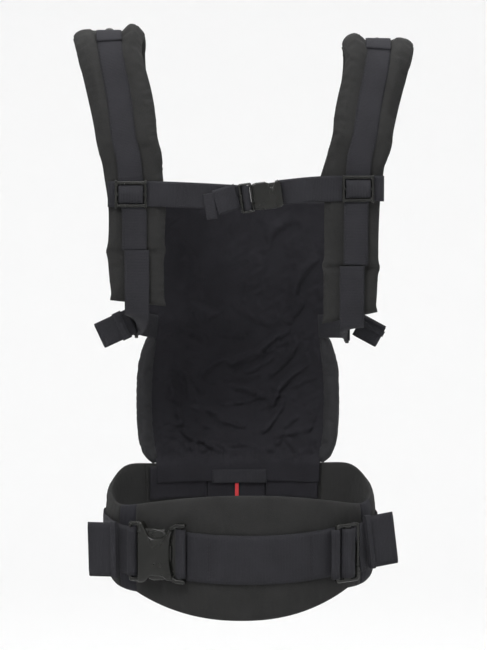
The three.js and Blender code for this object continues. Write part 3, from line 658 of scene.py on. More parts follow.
def make_belt():
    front = ring_parameter
    gap = -1.2      # neighbours run into each other at a seam, so no light passes
    belt_piece("lumbar_cushion", front(LUMBAR_X[0]), front(LUMBAR_X[1]), CANVAS, "canvas", ["lumbar_pad"],
               LUMBAR_THICKNESS, 150, 3, 0.7, ends=9.0, puff=0.5)
    belt_piece("end_strip_left", front(STRIP_X[0]), front(LUMBAR_X[0] - gap), FACING, "webbing",
               ["belt_end_strip_left"], 8.0, 16, 5, 0.3, ends=2.0, puff=0.3)
    belt_piece("end_strip_right", front(LUMBAR_X[1] + gap), front(STRIP_X[1]), FACING, "webbing",
               ["belt_end_strip_right"], 8.0, 14, 6, 0.3, ends=2.0, puff=0.3)
    back = lambda x: ring_parameter(x, True)
    belt_piece("wing_left", front(STRIP_X[0] - gap), back(JOIN_X[0]), CANVAS, "canvas", ["waist_wing_left"],
               BELT_THICKNESS, 110, 11, 0.5, ends=3.0)
    belt_piece("wing_right", front(STRIP_X[1] + gap), back(JOIN_X[1]), CANVAS, "canvas", ["waist_wing_right"],
               BELT_THICKNESS, 110, 12, 0.5, ends=3.0)
    belt_piece("belt_panel_section", back(JOIN_X[1] - gap), 2 * math.pi + back(JOIN_X[0] + gap), CANVAS,
               "canvas",
               ["belt_base"], 7.6, 120, 13, 0.4, ends=3.0, puff=0.35)


# ------------------------------------------------------------------ panel

def panel_surface(x, z, half):
    y = profile(DEPTH, z) - profile(CURL, z) * np.abs(x / half) ** 2.2
    return np.stack([x, y, z + 0 * x], axis=-1)


def sheet_object(name, top_points, thickness, material, closed_uv):
    """Closed thin cloth from a grid of points, thickened along its own normals."""
    du = np.gradient(top_points, axis=1)
    dv = np.gradient(top_points, axis=0)
    normal = unit(np.cross(du, dv))
    rows, cols = top_points.shape[:2]
    front = top_points + normal * thickness / 2
    back = top_points - normal * thickness / 2
    points = np.vstack([front.reshape(-1, 3), back.reshape(-1, 3)])
    n = rows * cols
    faces = grid_faces(rows, cols, False)
    faces += [tuple(n + k for k in f[::-1]) for f in grid_faces(rows, cols, False)]
    rim = ([(0, j) for j in range(cols)] + [(i, cols - 1) for i in range(1, rows)]
           + [(rows - 1, j) for j in range(cols - 2, -1, -1)] + [(i, 0) for i in range(rows - 2, 0, -1)])
    index = [i * cols + j for i, j in rim]
    for a, b in zip(index, index[1:] + index[:1]):
        faces.append((a, a + n, b + n, b))
    uvs = np.vstack([closed_uv.reshape(-1, 2), closed_uv.reshape(-1, 2) + 500])
    return build(name, points, faces, material, uvs)


LINING_FOLDS = [
    # u0, v0, u1, v1, half width, height, bow: long soft folds, then the gathers near the seat
    (62, 190, 30, 150, 4.0, 2.6, 3), (74, 168, 34, 118, 4.0, 3.0, -6), (52, 140, 22, 92, 3.6, 2.6, 5),
    (66, 112, 40, 84, 3.2, 2.4, -4), (20, 176, 60, 206, 4.5, 2.4, 4), (-14, 168, 32, 190, 4.6, 2.2, -5),
    (-40, 150, -4, 176, 4.2, 2.0, 4), (-10, 142, 34, 128, 3.6, 2.4, 4), (-30, 120, 14, 104, 3.6, 2.0, -5),
    (-66, 176, -48, 132, 3.6, 2.2, 4), (-72, 150, -58, 100, 3.6, 2.4, 3), (-58, 98, -20, 82, 2.6, 2.6, -3),
    (-44, 90, -8, 76, 2.4, 2.4, 2), (-34, 84, -14, 74, 2.0, 2.2, 0), (-6, 84, 24, 78, 2.4, 2.0, 3),
    (-60, 206, -28, 188, 4.2, 1.8, 3), (66, 240, 46, 208, 4.6, 2.2, 4), (78, 276, 58, 238, 4.8, 2.4, -5),
    (40, 210, 6, 226, 5.0, 1.6, 4), (-52, 236, -16, 222, 5.0, 1.5, -4), (-64, 300, -40, 262, 5.5, 1.6, 5),
    (58, 320, 30, 296, 5.5, 1.6, -4), (48, 92, 62, 76, 2.6, 2.0, 1), (82, 130, 72, 96, 3.0, 2.0, 2),
]


def seat_gathers():
    """Small folds scattered over the seat: near level in the middle, steeper towards the sides."""
    rng = np.random.default_rng(7)
    folds = []
    for _ in range(64):
        u, v = rng.uniform(-70, 74), rng.uniform(74, 200)
        slope = math.radians(rng.uniform(-18, 18) + 45 * u / 74 * rng.choice([0.4, 1.0]))
        run = rng.uniform(12, 34)
        du, dv = run / 2 * math.cos(slope), run / 2 * math.sin(slope)
        folds.append((u - du, v - dv, u + du, v + dv, rng.uniform(1.5, 2.6), rng.uniform(0.7, 1.5),
                      rng.uniform(-3, 3)))
    return folds


def panel_grid(rows, cols, offset, drop, foot=PANEL_FOOT):
    """Even grid of the panel from below the belt's top edge up, kept clear of the belt by drop."""
    z = np.linspace(foot, LINING_TOP - 0.4, rows)[:, None]
    u = np.linspace(-1, 1, cols)[None, :]
    half = profile(HALF_WIDTH, z)
    x = u * half
    surface = panel_surface(x, z, half)
    surface[..., 1] += offset + drop * (1 - smooth(z, 63, 76))
    if foot < PANEL_FOOT:
        t = math.pi - np.arcsin((np.abs(x) / RING_A) ** (RING_N / 2))
        against_belt = ring(t, np.full(x.shape, -7.9))[0][..., 1]
        surface[..., 1] -= np.maximum(surface[..., 1] - against_belt, 0) * (1 - smooth(z, 60, 74))
    edge = np.clip((1 - np.abs(u)) * 9, 0, 1) * np.clip((z - z[0]) / 12, 0, 1) * np.clip((z[-1] - z) / 8, 0,
            1)
    return surface, x, z + 0 * u, edge


def settle_grid(name, surface, growth, cap, free):
    """Surface after its cloth has grown a little between the held edges."""
    rows, cols = surface.shape[:2]
    grid = build(name, surface.reshape(-1, 3), grid_faces(rows, cols, False), LINING)
    index = np.arange(rows * cols).reshape(rows, cols)
    pins = np.concatenate([index[:2].ravel(), index[-2:].ravel(), index[:, :2].ravel(),
                           index[:, -2:].ravel()])
    relax(grid, sorted(set(pins.tolist())), growth, 0.0, cap, steps=22, stiff=12.0, bend=0.25)
    moved = np.zeros(rows * cols * 3)
    grid.data.vertices.foreach_get("co", moved)
    bpy.data.objects.remove(grid)
    moved = moved.reshape(rows, cols, 3) / MM
    return surface + (moved - surface) * free[..., None]


def make_lining():
    surface, x, z, edge = panel_grid(150, 118, -2.3, -5.0, LINING_FOOT)
    edge = edge * smooth(z, 59, 72)
    seat = 1 - 0.55 * smooth(z, 190, 300)
    height = 1.9 * sum(crease(x, z, fold) for fold in LINING_FOLDS + seat_gathers())
    height = height + 1.1 * seat * ripple(x, z, 21, 44) + 1.1 * seat * ripple(x * 1.2, z * 1.6, 22, 16, 3)
    pucker = np.exp(-((z - 76) / 16) ** 2)
    height = height + 1.1 * pucker * ripple(x * 2.2, z * 0.8, 23, 12, 2)
    surface[..., 1] -= np.clip(height, -2.2, 6) * edge
    surface = settle_grid("lining_rest", surface, 0.022, 3.0, edge)
    limit = panel_grid(150, 118, -1.5, -5.0, LINING_FOOT)[0]
    surface[..., 1] = np.minimum(surface[..., 1], limit[..., 1])
    lining = sheet_object("lining_cloth", surface, 1.2, LINING, np.stack([x, z], axis=-1))
    finish_piece(lining, "carrier", "lining", "panel_lining")
    return lining


def make_shell():
    surface, x, z, edge = panel_grid(120, 100, 2.3, 3.6)
    height = 0.9 * ripple(x, z, 31, 60) + 0.4 * ripple(x, z * 1.3, 32, 22, 3)
    surface[..., 1] += np.clip(height, -0.6, 3) * edge
    limit = panel_grid(120, 100, 1.6, 3.6)[0]
    surface[..., 1] = np.maximum(surface[..., 1], limit[..., 1])
    shell = sheet_object("shell_cloth", surface, 1.8, CANVAS, np.stack([x, z], axis=-1))
    finish_piece(shell, "carrier", "canvas", "panel_shell")
    return shell


def make_seat_edges():
    """Padded thigh edges: a thin sewn side between shell and lining, and a full rolled outer side."""
    for side, sign in (("left", -1), ("right", 1)):
        z = np.linspace(68, 206, 100)
        half = profile(HALF_WIDTH, z)
        seam = panel_surface(sign * half, z, half)
        along = unit(np.gradient(seam, axis=0))
        lean = np.array([0.80 * sign, -0.60, 0])
        wide = unit(lean - along * (along @ lean)[:, None])
        out = unit(np.cross(along, wide))
        out = out * np.sign(-out[:, 1:2])
        widths = profile([(68, 7), (75, 12), (92, 16.5), (130, 17.5), (168, 16.5), (190, 12.5), (206, 4)], z)
        points = seam + wide * (widths / 2 - 2.2)[:, None]

        def wrinkle(u, v):
            return 0.5 * ripple(u * 2.2, v, 41 + sign, 20, 3)

        thickness = 3.0 + 7.0 * smooth(widths, 4, 14)
        rings, uvs = pad_rings(points, wide, out, widths, thickness, count=32, wrinkle=wrinkle, ends=5)
        roll = tube(f"thigh_roll_{side}", rings, SEAT_CLOTH, uvs)
        relax(roll, seam_points(*rings.shape[:2]), 0.02, 3.0, 1.5)
        finish_piece(roll, "carrier", "canvas", f"seat_edge_{side}", fill=0.7)


def inner_band(name, x0, x1, top, bottom, thickness, material, slot, nodes, lift=0.0, wave=0.0, seed=0):
    """Flat cloth on the inner face of the belt behind the seat."""
    low, high = [(2 * math.pi if x < 0 else 0) + ring_parameter(x, True) for x in (x1, x0)]
    t = ring_run(low, high, max(int(abs(x1 - x0) / 2), 4))
    offset = -(4.0 + 0.35 + 0.9 + lift)
    points, out = ring(t, np.full(len(t), offset))
    points = points + out * (wave * ripple(points[:, 0], points[:, 2], seed, 22, 2))[:, None]
    points[:, 2] = (top + bottom) / 2
    wide = np.broadcast_to(UP, points.shape)
    strip = webbing_strip(name, points, wide, out, top - bottom, thickness, material)
    return finish_piece(strip, "carrier", slot, *nodes)


def make_base():
    """Seat-width flaps, the cloth between them, a tab and the label. Their tops tuck under the lining."""
    top, flap_bottom, cloth_bottom = 65, 30, 26
    for side, x0, x1 in (("left", -94, -33), ("right", 30, 85)):
        flap = inner_band(f"width_flap_{side}", x0, x1, top, flap_bottom, 1.8, LINING, "lining",
                          [f"seat_flap_{side}"], wave=0.25, seed=51)
    centre = inner_band("base_centre", -32.4, 29.4, top, cloth_bottom, 1.2, LINING, "lining", [],
                        lift=-0.7, wave=0.1, seed=52)
    inner_band("base_webbing_tab", -27, 31, 59.0, 45, 1.6, WEBBING, "webbing", ["base_tab"], lift=3.4)
    inner_band("woven_label", -2.8, 1.0, 44.6, 31, 0.8, LABEL, "label", ["care_label"], lift=2.6)


def make_neck_support():
    x = np.linspace(-78, 78, 110)
    middle = 311.5
    half = profile(HALF_WIDTH, middle)
    points = panel_surface(x, middle + 0 * x, half)
    points[:, 1] += 4.2 + 4.8
    lean = unit(panel_surface(x, 333 + 0 * x, half) - panel_surface(x, 290 + 0 * x, half))
    lean[:, 1] = np.interp(333, *zip(*DEPTH)) - np.interp(290, *zip(*DEPTH))
    lean[:, 2] = 43.0
    lean[:, 0] = 0
    lean = unit(lean)
    along = unit(np.gradient(points, axis=0))
    out = unit(np.cross(lean, along)) * -1
    out = out * np.sign(out[:, 1:2])

    def wrinkle(u, v):
        return 0.7 * ripple(u, v * 1.4, 61, 30)

    rings, uvs = pad_rings(points, lean, out, np.full(len(x), 43.0), np.full(len(x), 10.5), wrinkle=wrinkle,
                           ends=9)
    pad = tube("neck_pillow", rings, CANVAS, uvs)
    relax(pad, seam_points(*rings.shape[:2]), 0.02, 3.0, 2.0)
    finish_piece(pad, "carrier", "canvas", "neck_support", fill=0.7)


# ------------------------------------------------------------------ shoulder straps

def strap_path(shoulder, steps=220):
    zone_top = (shoulder["zone_x"], ZONE_Y, ZONE_TOP)
    zone_bottom = (shoulder["zone_x"], ZONE_Y, ZONE_BOTTOM)
    over = smooth_path(shoulder["over"] + [zone_top], 120)
    points = np.vstack([over, [zone_bottom], [shoulder["end"]]])
    points = resample(points, steps)
    for _ in range(14):
        points[1:-1] = 0.5 * points[1:-1] + 0.25 * (points[:-2] + points[2:])
    _, wide, out = frames(points)
    return points, wide, out


def strap_pad(shoulder):
    points, wide, out = strap_path(shoulder)
    s = np.linspace(0, 1, len(points))
    z, front = points[:, 2], points[:, 1] < 0
    seam = np.where(front, np.exp(-((z - shoulder["seam"]) / 2.2) ** 2), 0)
    flare = np.where(front, np.exp(-((z - shoulder["seam"]) / 5.5) ** 2), 0)
    hem = np.where(front, np.exp(-((z - shoulder["end"][2]) / 5.0) ** 2), 0)
    free = np.where(front & (z < shoulder["seam"]), 1.0, 0.0)
    widths = profile(shoulder["widths"], s) + 3.0 * flare + 3.6 * hem
    thickness = STRAP_THICKNESS - 1.2 + 2.4 * np.where(front, smooth(z, ZONE_TOP - 12, ZONE_TOP + 20),
                                                       1) - 4.5 * seam - 3.0 * free - 2.0 * hem
    side = shoulder["side"]
    seed = 71 if side == "left" else 81
    near_top = np.exp(-((z - z.max()) / 22) ** 2)
    run = np.concatenate([[0], np.cumsum(np.linalg.norm(np.diff(points, axis=0), axis=1))])
    low = smooth(z, ZONE_TOP - 12, ZONE_TOP + 20)
    channel = np.where(front, smooth(run, run[-1] * 0.43, run[-1] * 0.468) * (0.35 + 0.65 * low), 0.0)
    sway = np.where(front, profile(shoulder["sway"], z), 0.0)
    middle = profile(shoulder["webbing"], z) - sway

    def wrinkle(u, v):
        at = lambda values: np.interp(np.clip(u, 0, run[-1]), run, values)
        fold = at(near_top)
        small = 0.55 * ripple(u, v * 1.5, seed, 34) + 0.45 * ripple(u * 1.9, v * 0.9, seed + 1, 14, 3)
        inner = smooth(-shoulder["sign"] * v, 8, 24)
        outer = smooth(shoulder["sign"] * v, 10, 26)
        off = np.abs(v - at(middle))
        valley = 2.2 * np.exp(-((off - 21) / 6) ** 2) - 2.0 * (1 - smooth(off, 9, 15))
        bunched = fold * (7.5 * inner + 2.4 * outer)
        return small * (1 + 0.9 * fold) + bunched + valley * at(channel) * (u < 890)

    rings, uvs = pad_rings(points + wide * sway[:, None], wide, out, widths, thickness, count=68,
                           wrinkle=wrinkle, ends=5)
    drop = np.where(front, 1 - smooth(z, shoulder["end"][2], shoulder["end"][2] + 26), 0.0)
    rings[:, :, 2] += (rings[:, :, 0] - points[:, None, 0]) * shoulder["hem_slope"] * drop[:, None]
    pad = tube(f"shoulder_cushion_{side}", rings, CANVAS, uvs)
    relax(pad, seam_points(*rings.shape[:2]), 0.02, 3.0, 2.2)
    keep_behind(pad, (ZONE_Y - STRAP_THICKNESS / 2) * MM, (ZONE_TOP + 14) * MM)
    finish_piece(pad, "carrier", "canvas", f"shoulder_pad_{side}", fill=0.6)
    return points, wide, out


def keep_behind(pad, face, top):
    """Presses a pad's near side flat against the chest webbing's back, below a height."""
    count = len(pad.data.vertices)
    at = np.zeros(count * 3)
    pad.data.vertices.foreach_get("co", at)
    at = at.reshape(-1, 3)
    low = at[:, 2] < top
    over = np.maximum(face + 0.8 * MM - at[:, 1], 0)
    at[low, 1] += (over - 0.55 * MM * (1 - np.exp(-over / MM)))[low]
    pad.data.vertices.foreach_set("co", at.ravel())
    pad.data.update()


def strap_webbing(shoulder, points, wide, out):
    side = shoulder["side"]
    first = int(np.argmax(points[:, 1] < -4))
    keep = [i for i in range(first, len(points)) if points[i, 2] > shoulder["seam"]]
    lift = STRAP_THICKNESS / 2 + CHEST_WEB[1] + 0.7 + STRAP_WEB[1] / 2
    low = 1.2 * smooth(points[keep, 2], ZONE_TOP - 10, ZONE_TOP + 15)
    aside = profile(shoulder["webbing"], points[keep, 2])
    path = points[keep] + out[keep] * (lift - low)[:, None] + wide[keep] * aside[:, None]
    strip = webbing_strip(f"upper_webbing_{side}", path, wide[keep], out[keep], *STRAP_WEB, WEBBING)
    finish_piece(strip, "carrier", "webbing", f"strap_webbing_{side}")
    lines = []
    for edge in (-1, 1):
        line = path + wide[keep] * edge * (STRAP_WEB[0] / 2 - 1.6) + out[keep] * (STRAP_WEB[1] / 2 + 0.1)
        lines.append((line, out[keep]))
    finish_piece(stitches(f"upper_stitching_{side}", lines, THREAD), "carrier", "webbing")
    hem = path[:7] + out[keep][:7] * 1.35
    cap = webbing_strip(f"top_hem_{side}", hem, wide[keep][:7], out[keep][:7], STRAP_WEB[0] + 0.8, 1.2,
                        WEBBING)
    finish_piece(cap, "carrier", "webbing")


def lower_webbing(shoulder):
    side, sign = shoulder["side"], shoulder["sign"]
    x, y, z = shoulder["adjuster"]
    end = shoulder["end"]
    x0 = end[0] + (0.5 if side == "right" else -0.5)
    face = end[1] - STRAP_THICKNESS / 2 - 0.35 - 1.2
    route = np.array([
        (x0, face - 1.6, shoulder["seam"] + 1.5, 0), (x0, face - 1.2, shoulder["seam"] - 8, 0),
        (x0, face, end[2] + 6, 0), (x0, face + 4, end[2] - 9, 0),
        (mix(end[0], x, 0.5), -38, z + 4, sign * 50), (x, y - 11.5, z, sign * 90),
    ], float)
    path = smooth_path(route[:, :3], 70)
    marks = np.concatenate([[0], np.cumsum(np.linalg.norm(np.diff(route[:, :3], axis=0), axis=1))])
    turn = np.radians(np.interp(np.linspace(0, marks[-1], len(path)), marks, route[:, 3]))
    across = np.cos(turn)[:, None] * ACROSS + np.sin(turn)[:, None] * UP
    _, wide, out = frames(path, across)
    strip = webbing_strip(f"lower_strap_{side}", path, wide, out, STRAP_WEB[0], 1.6, WEBBING)
    blend = ("carrier", f"side_adjuster_{side}", (x * MM, -0.034, z * MM), (x * MM, -0.014, z * MM))
    finish_piece(strip, blend, "webbing", f"lower_webbing_{side}")


def make_shoulder(shoulder):
    points, wide, out = strap_pad(shoulder)
    strap_webbing(shoulder, points, wide, out)
    lower_webbing(shoulder)
    make_side_hardware(shoulder)


def make_side_hardware(shoulder):
    side, sign = shoulder["side"], shoulder["sign"]
    x, y, z = shoulder["adjuster"]
    loops = [rectangle(-12, 12, -15, 15, 3.2), rectangle(-9.2, -2.8, -12.4, 12.4, 1),
             rectangle(1.6, 8.4, -12.4, 12.4, 1)]
    lock = moulding(f"ladder_lock_{side}", loops, 3.6, 0.9, PLASTIC, (x, y, z),
                    Matrix.Rotation(math.pi / 2, 4, "Z"))
    finish_piece(lock, f"side_adjuster_{side}", "plastic", f"side_adjuster_{side}")
    half = float(profile(HALF_WIDTH, TAB_HEIGHT))
    edge = panel_surface(np.array([sign * half]), np.array([TAB_HEIGHT]), half)[0]
    middle = (mix(x, edge[0], 0.5) + sign * 2, mix(y, edge[1], 0.55), mix(z, TAB_HEIGHT, 0.5))
    route = [(x, y + 12.0, z), middle, (edge[0] - sign * 5.0, edge[1] - 5.2, TAB_HEIGHT)]
    path = smooth_path(route, 40)
    _, wide, out = frames(path, UP)
    tab = webbing_strip(f"panel_tab_{side}", path, wide, out, STRAP_WEB[0], 1.6, WEBBING)
    finish_piece(tab, "carrier", "webbing", f"side_tab_{side}")
    for place, at_y, body in (("far", y + 10.3, "carrier"), ("near", y - 10.5, f"side_adjuster_{side}")):
        path = resample([(x, at_y, z - 11.8), (x, at_y, z + 11.8)], 12)
        across, out = np.tile([0.0, 1.0, 0.0], (len(path), 1)), np.tile([1.0, 0.0, 0.0], (len(path), 1))
        loop = webbing_strip(f"lock_loop_{place}_{side}", path, across, out, 6.8, 5.4, WEBBING)
        finish_piece(loop, body, "webbing")
    root, tip = shoulder["tail"]
    if sign < 0:
        root = (root[0] + 3.6, root[1] + 0.6, root[2] + 1.6)
    make_tail(f"side_tail_{side}", (root, tip), STRAP_WEB[0] + 2, [f"side_tail_{side}"],
              f"side_keeper_{side}",
              (0.22, 0.46), np.array([0, -1.0, 0]), "carrier")


def make_tail(name, ends, width, nodes, keeper, keep, out, body, layers=3):
    """Folded free end of webbing: layers of webbing turned back on themselves, held by an elastic loop."""
    root, tip = map(lambda p: np.array(p, float), ends)
    along = unit(tip - root)
    run = np.linalg.norm(tip - root)
    wide = unit(np.cross(along, out))
    route = []
    for layer in range(layers):
        level = (layer - (layers - 1) / 2) * 1.75
        here = [(0.0 + 1.2 * layer, level), (run - 1.2 - 0.8 * layer, level)]
        route += here if layer % 2 == 0 else here[::-1]
    path = np.array([root + along * s + out * level for s, level in route])
    path = resample(path, 90)
    tangent = unit(np.gradient(path, axis=0))
    normals = np.cross(tangent, np.broadcast_to(wide, path.shape))
    strip = webbing_strip(name + "_folded", path, np.broadcast_to(wide, path.shape), normals, width, 1.45,
                          WEBBING)
    finish_piece(strip, body, "webbing", *nodes)
    turns = np.linspace(0, 2 * math.pi, 49)[:-1]
    half_w, half_t = width / 2 + 1.0, layers * 0.95 + 0.9
    loop = [(np.sign(math.cos(a)) * abs(math.cos(a)) ** 0.35 * half_w,
             np.sign(math.sin(a)) * abs(math.sin(a)) ** 0.6 * half_t) for a in turns]
    rings = []
    for s, grow in ((keep[0], -0.25), (keep[0] + 0.02, 0.35), (keep[1] - 0.02, 0.35), (keep[1], -0.25)):
        centre = root + along * run * s
        rings.append([centre + wide * (a + math.copysign(grow, a)) + out * (b + math.copysign(grow, b))
                      for a, b in loop])
    rings = np.array(rings)
    shell = np.concatenate([rings, np.array([[centre_of(r) + (p - centre_of(r)) * 0.93 for p in r]
                                             for r in rings])[::-1]])
    rows, cols = shell.shape[:2]
    faces = grid_faces(rows, cols, True)
    faces += [((rows - 1) * cols + j, (rows - 1) * cols + (j + 1) % cols, (j + 1) % cols,
               j) for j in range(cols)]
    uvs = np.stack(np.meshgrid(np.arange(cols) * 1.2, np.arange(rows) * 2.0), axis=-1)
    band = build(keeper + "_elastic", shell.reshape(-1, 3), faces, WEBBING, uvs.reshape(-1, 2))
    finish_piece(band, body, "webbing", keeper)


def centre_of(points):
    return np.mean(points, axis=0)


# ------------------------------------------------------------------ waist webbing and hardware

def on_belt(name, x0, x1, lift, width, thickness, height_at, steps=90, t1=None):
    t = ring_run(ring_parameter(x0), ring_parameter(x1) if t1 is None else t1, steps)
    points, out = ring(t, lift if np.ndim(lift) else np.full(len(t), lift))
    points[:, 2] = height_at(points[:, 0])
    wide = np.broadcast_to(UP, points.shape)
    return webbing_strip(name, points, wide, out, width, thickness, WEBBING), points, out


def make_waist_webbing():
    lift = LUMBAR_THICKNESS / 2 + 1.3 + WAIST_WEB[1] / 2
    sag = lambda x: 6 * (np.abs(x - 10) / 90) ** 2
    strip, points, out = on_belt("centre_webbing", -54, 104, lift, *WAIST_WEB, sag)
    blend = ("carrier", "waist_plug", (0.02, -0.104, 0), (-0.045, -0.1, 0))
    finish_piece(strip, blend, "webbing", "waist_webbing_centre")
    rows = []
    for x in (-36, -33, 64, 67):
        k = int(np.argmin(np.abs(points[:, 0] - x)))
        line = points[k] + out[k] * (WAIST_WEB[1] / 2 + 0.15) + UP * np.linspace(-22, 22, 24)[:, None]
        rows.append((line, np.broadcast_to(out[k], line.shape)))
    finish_piece(stitches("centre_stitching", rows, THREAD), blend, "webbing")
    loops = [("left", -1, 8.0, [(-106.5, -85, 6.5), (-114, -80.5, 7), (-122, -72, 7.5)]),
             ("right", 1, 5.0, [(112, -78.5, 5.5), (119, -72.5, 7.5), (124.5, -65, 6.5)])]
    for side, sign, z, lead in loops:
        t = np.linspace(ring_parameter(sign * 128.0), sign * (math.pi / 2 + 0.12), 12)
        around, _ = ring(t, np.full(len(t), BELT_THICKNESS / 2 + 1.1 + WAIST_WEB[1] / 2))
        around[:, 2] = z
        path = smooth_path(lead + [tuple(p) for p in around], 90)
        _, wide, out = frames(path, UP)
        strip = webbing_strip(f"belt_webbing_{side}", path, wide, out, *WAIST_WEB, WEBBING)
        finish_piece(strip, "carrier", "webbing", f"waist_webbing_{side}")
    tails = [("left", ((-122, -80, 7), (-152.8, -70, 6.2)), (0.04, 0.22)),
             ("right", ((121, -74.5, 11.5), (151.5, -67, 15.5)), (0.04, 0.2))]
    for side, ends, keep in tails:
        along = unit(np.array(ends[1], float) - np.array(ends[0], float))
        out = unit(np.array([along[1], -along[0], 0]) * np.sign(along[0]))
        make_tail(f"waist_tail_{side}", ends, WAIST_WEB[0] + (5 if side == "left" else 3),
                  [f"waist_tail_{side}"], f"waist_keeper_{side}",
                  keep, out, "carrier")


def make_waist_hardware():
    turn = Matrix.Rotation(math.radians(WAIST_BUCKLE["yaw"]), 4, "Z")
    at = WAIST_BUCKLE["at"]
    upper = rounded([(-18, 30), (-13.8, 29.6), (-7, 16.4), (-2, 13.8), (8, 14.6), (13, 20.5), (18, 24)],
                    [0, 2, 5, 5, 6, 3, 0])
    end = smooth_outline([(18, 24), (15.2, 13), (14.4, 0), (15.2, -13), (18, -26)])
    lower = rounded([(18, -26), (12.5, -26.8), (8, -23.2), (-5, -22.8), (-9, -27), (-12, -29.6), (-18, -30)],
                    [0, 2, 3, 3, 2, 2, 0])
    rim = np.vstack([upper, end[1:-1], lower])
    body = moulding("waist_housing_shell", [rim], 11, 1.9, PLASTIC, at, turn)
    bar = moulding("waist_housing_bar", [rectangle(-28, -16, -29.5, 29.5, 3.2),
                                         rectangle(-25.2, -19.2, -25.6, 25.6, 1)], 5, 1.2, PLASTIC, at, turn)
    web = moulding("waist_housing_web", [rectangle(-14, 11, -23.5, 23.5, 4)], 3.2, 0.8, PLASTIC, at, turn,
                   1.5)
    housing = join("waist_housing", [body, bar, web])
    finish_piece(housing, "carrier", "plastic", "waist_buckle_housing")
    parts = []
    for sign in (1, -1):
        horn = [(12, sign * 19.5), (15, sign * 26.5), (21, sign * 29.6), (29.5, sign * 29.6),
                (31, sign * 27.6),
                (28.5, sign * 25.6), (21, sign * 25)]
        parts.append(moulding("waist_horn", [rounded(horn, [1, 4, 4, 1.6, 1.4, 2, 3])], 7, 1.6, PLASTIC, at,
                              turn))
    parts.append(moulding("waist_base", [rectangle(12.5, 21, -24.4, 24.4, 1.4)], 4, 0.9, PLASTIC, at, turn,
                          -2.2))
    parts.append(moulding("waist_bar", [rectangle(22.2, 26, -27, 27, 1.2)], 3.4, 1.0, PLASTIC, at, turn))
    parts.append(moulding("waist_rib", [rectangle(-8, 16, -8, 8, 2)], 4.6, 0.8, PLASTIC, at, turn))
    finish_piece(join("waist_plug_body", parts), "waist_plug", "plastic", "waist_buckle_plug")
    bulge("waist_plug_fold", at, turn, (19.6, 29.8), 48, 3.6, "waist_plug", vertical=True)
    for place, sign in (("upper", 1), ("lower", -1)):
        grow = 0.0 if sign > 0 else 3.6
        arm = rounded([(12.4, sign * 15.4), (12.4, sign * (19 + grow)), (8, sign * (22.8 + grow)),
                       (-2, sign * (24 + grow)), (-8, sign * (22 + grow)), (-7, sign * 17), (4, sign * 15)],
                      [1, 3, 5, 4, 2, 3, 2])
        prong = moulding(f"waist_latch_{place}", [arm], 7.4, 2.0, PLASTIC, at, turn)
        finish_piece(prong, f"waist_prong_{place}", "plastic", f"waist_buckle_prong_{place}")

    turn = Matrix.Rotation(math.radians(WAIST_ADJUSTER["yaw"]), 4, "Z")
    loops = [rectangle(-14, 14, -29, 29, 4), rectangle(-10.6, -4.6, -25.4, 25.4, 1),
             rectangle(3.4, 10.4, -25.4, 25.4, 1)]
    frame_piece = moulding("waist_slider_frame", loops, 4.6, 1.4, PLASTIC, WAIST_ADJUSTER["at"], turn)
    finish_piece(frame_piece, "carrier", "plastic", "waist_adjuster")
    bulge("waist_slider_fold", WAIST_ADJUSTER["at"], turn, (-6.8, 9.4), 48.6, 5.4, "carrier", vertical=True)
    bulge("waist_slider_entry", WAIST_ADJUSTER["at"], turn, (-18.5, -9.0), 48.8, 3.6, "carrier",
          vertical=True)
    bulge("waist_bar_fold", at, turn_of(WAIST_BUCKLE["yaw"]), (-30.5, -20.2), 47.5, 3.6, "carrier",
          vertical=True)


def turn_of(yaw):
    return Matrix.Rotation(math.radians(yaw), 4, "Z")


def smooth_outline(points):
    p = np.array([(x, 0, z) for x, z in points], float)
    return smooth_path(p, 20)[:, [0, 2]]


def bulge(name, at, turn, span, width, rise, body, vertical, across_at=0.0):
    """Webbing that comes up through a slot, over a bar and down again: a half-round fold."""
    u = np.linspace(span[0], span[1], 25)
    s = (u - span[0]) / (span[1] - span[0])
    height = -rise * np.sin(math.pi * s) ** 0.6
    v = np.linspace(-width / 2, width / 2, 9)
    points = []
    for k in (0, 1):
        for a, h in zip(u, height):
            for b in v:
                local = (a, h + k * 1.3, b) if vertical else (b, h + k * 1.3, a + across_at)
                points.append(local)
    points = np.array(points)
    n, cols = len(u) * len(v), len(v)
    faces = grid_faces(len(u), cols, False)
    faces += [tuple(n + q for q in f[::-1]) for f in grid_faces(len(u), cols, False)]
    rim = ([(0, j) for j in range(cols)] + [(i, cols - 1) for i in range(1, len(u))]
           + [(len(u) - 1, j) for j in range(cols - 2, -1, -1)] + [(i, 0) for i in range(len(u) - 2, 0, -1)])
    index = [i * cols + j for i, j in rim]
    faces += [(a, a + n, b + n, b) for a, b in zip(index, index[1:] + index[:1])]
    uvs = points[:, [0, 2]]
    rotation = np.array(turn.to_3x3())
    world = points @ rotation.T + np.array(at)
    fold = build(name, world, faces, WEBBING, uvs)
    finish_piece(fold, body, "webbing")
    return fold


# ------------------------------------------------------------------ chest strap

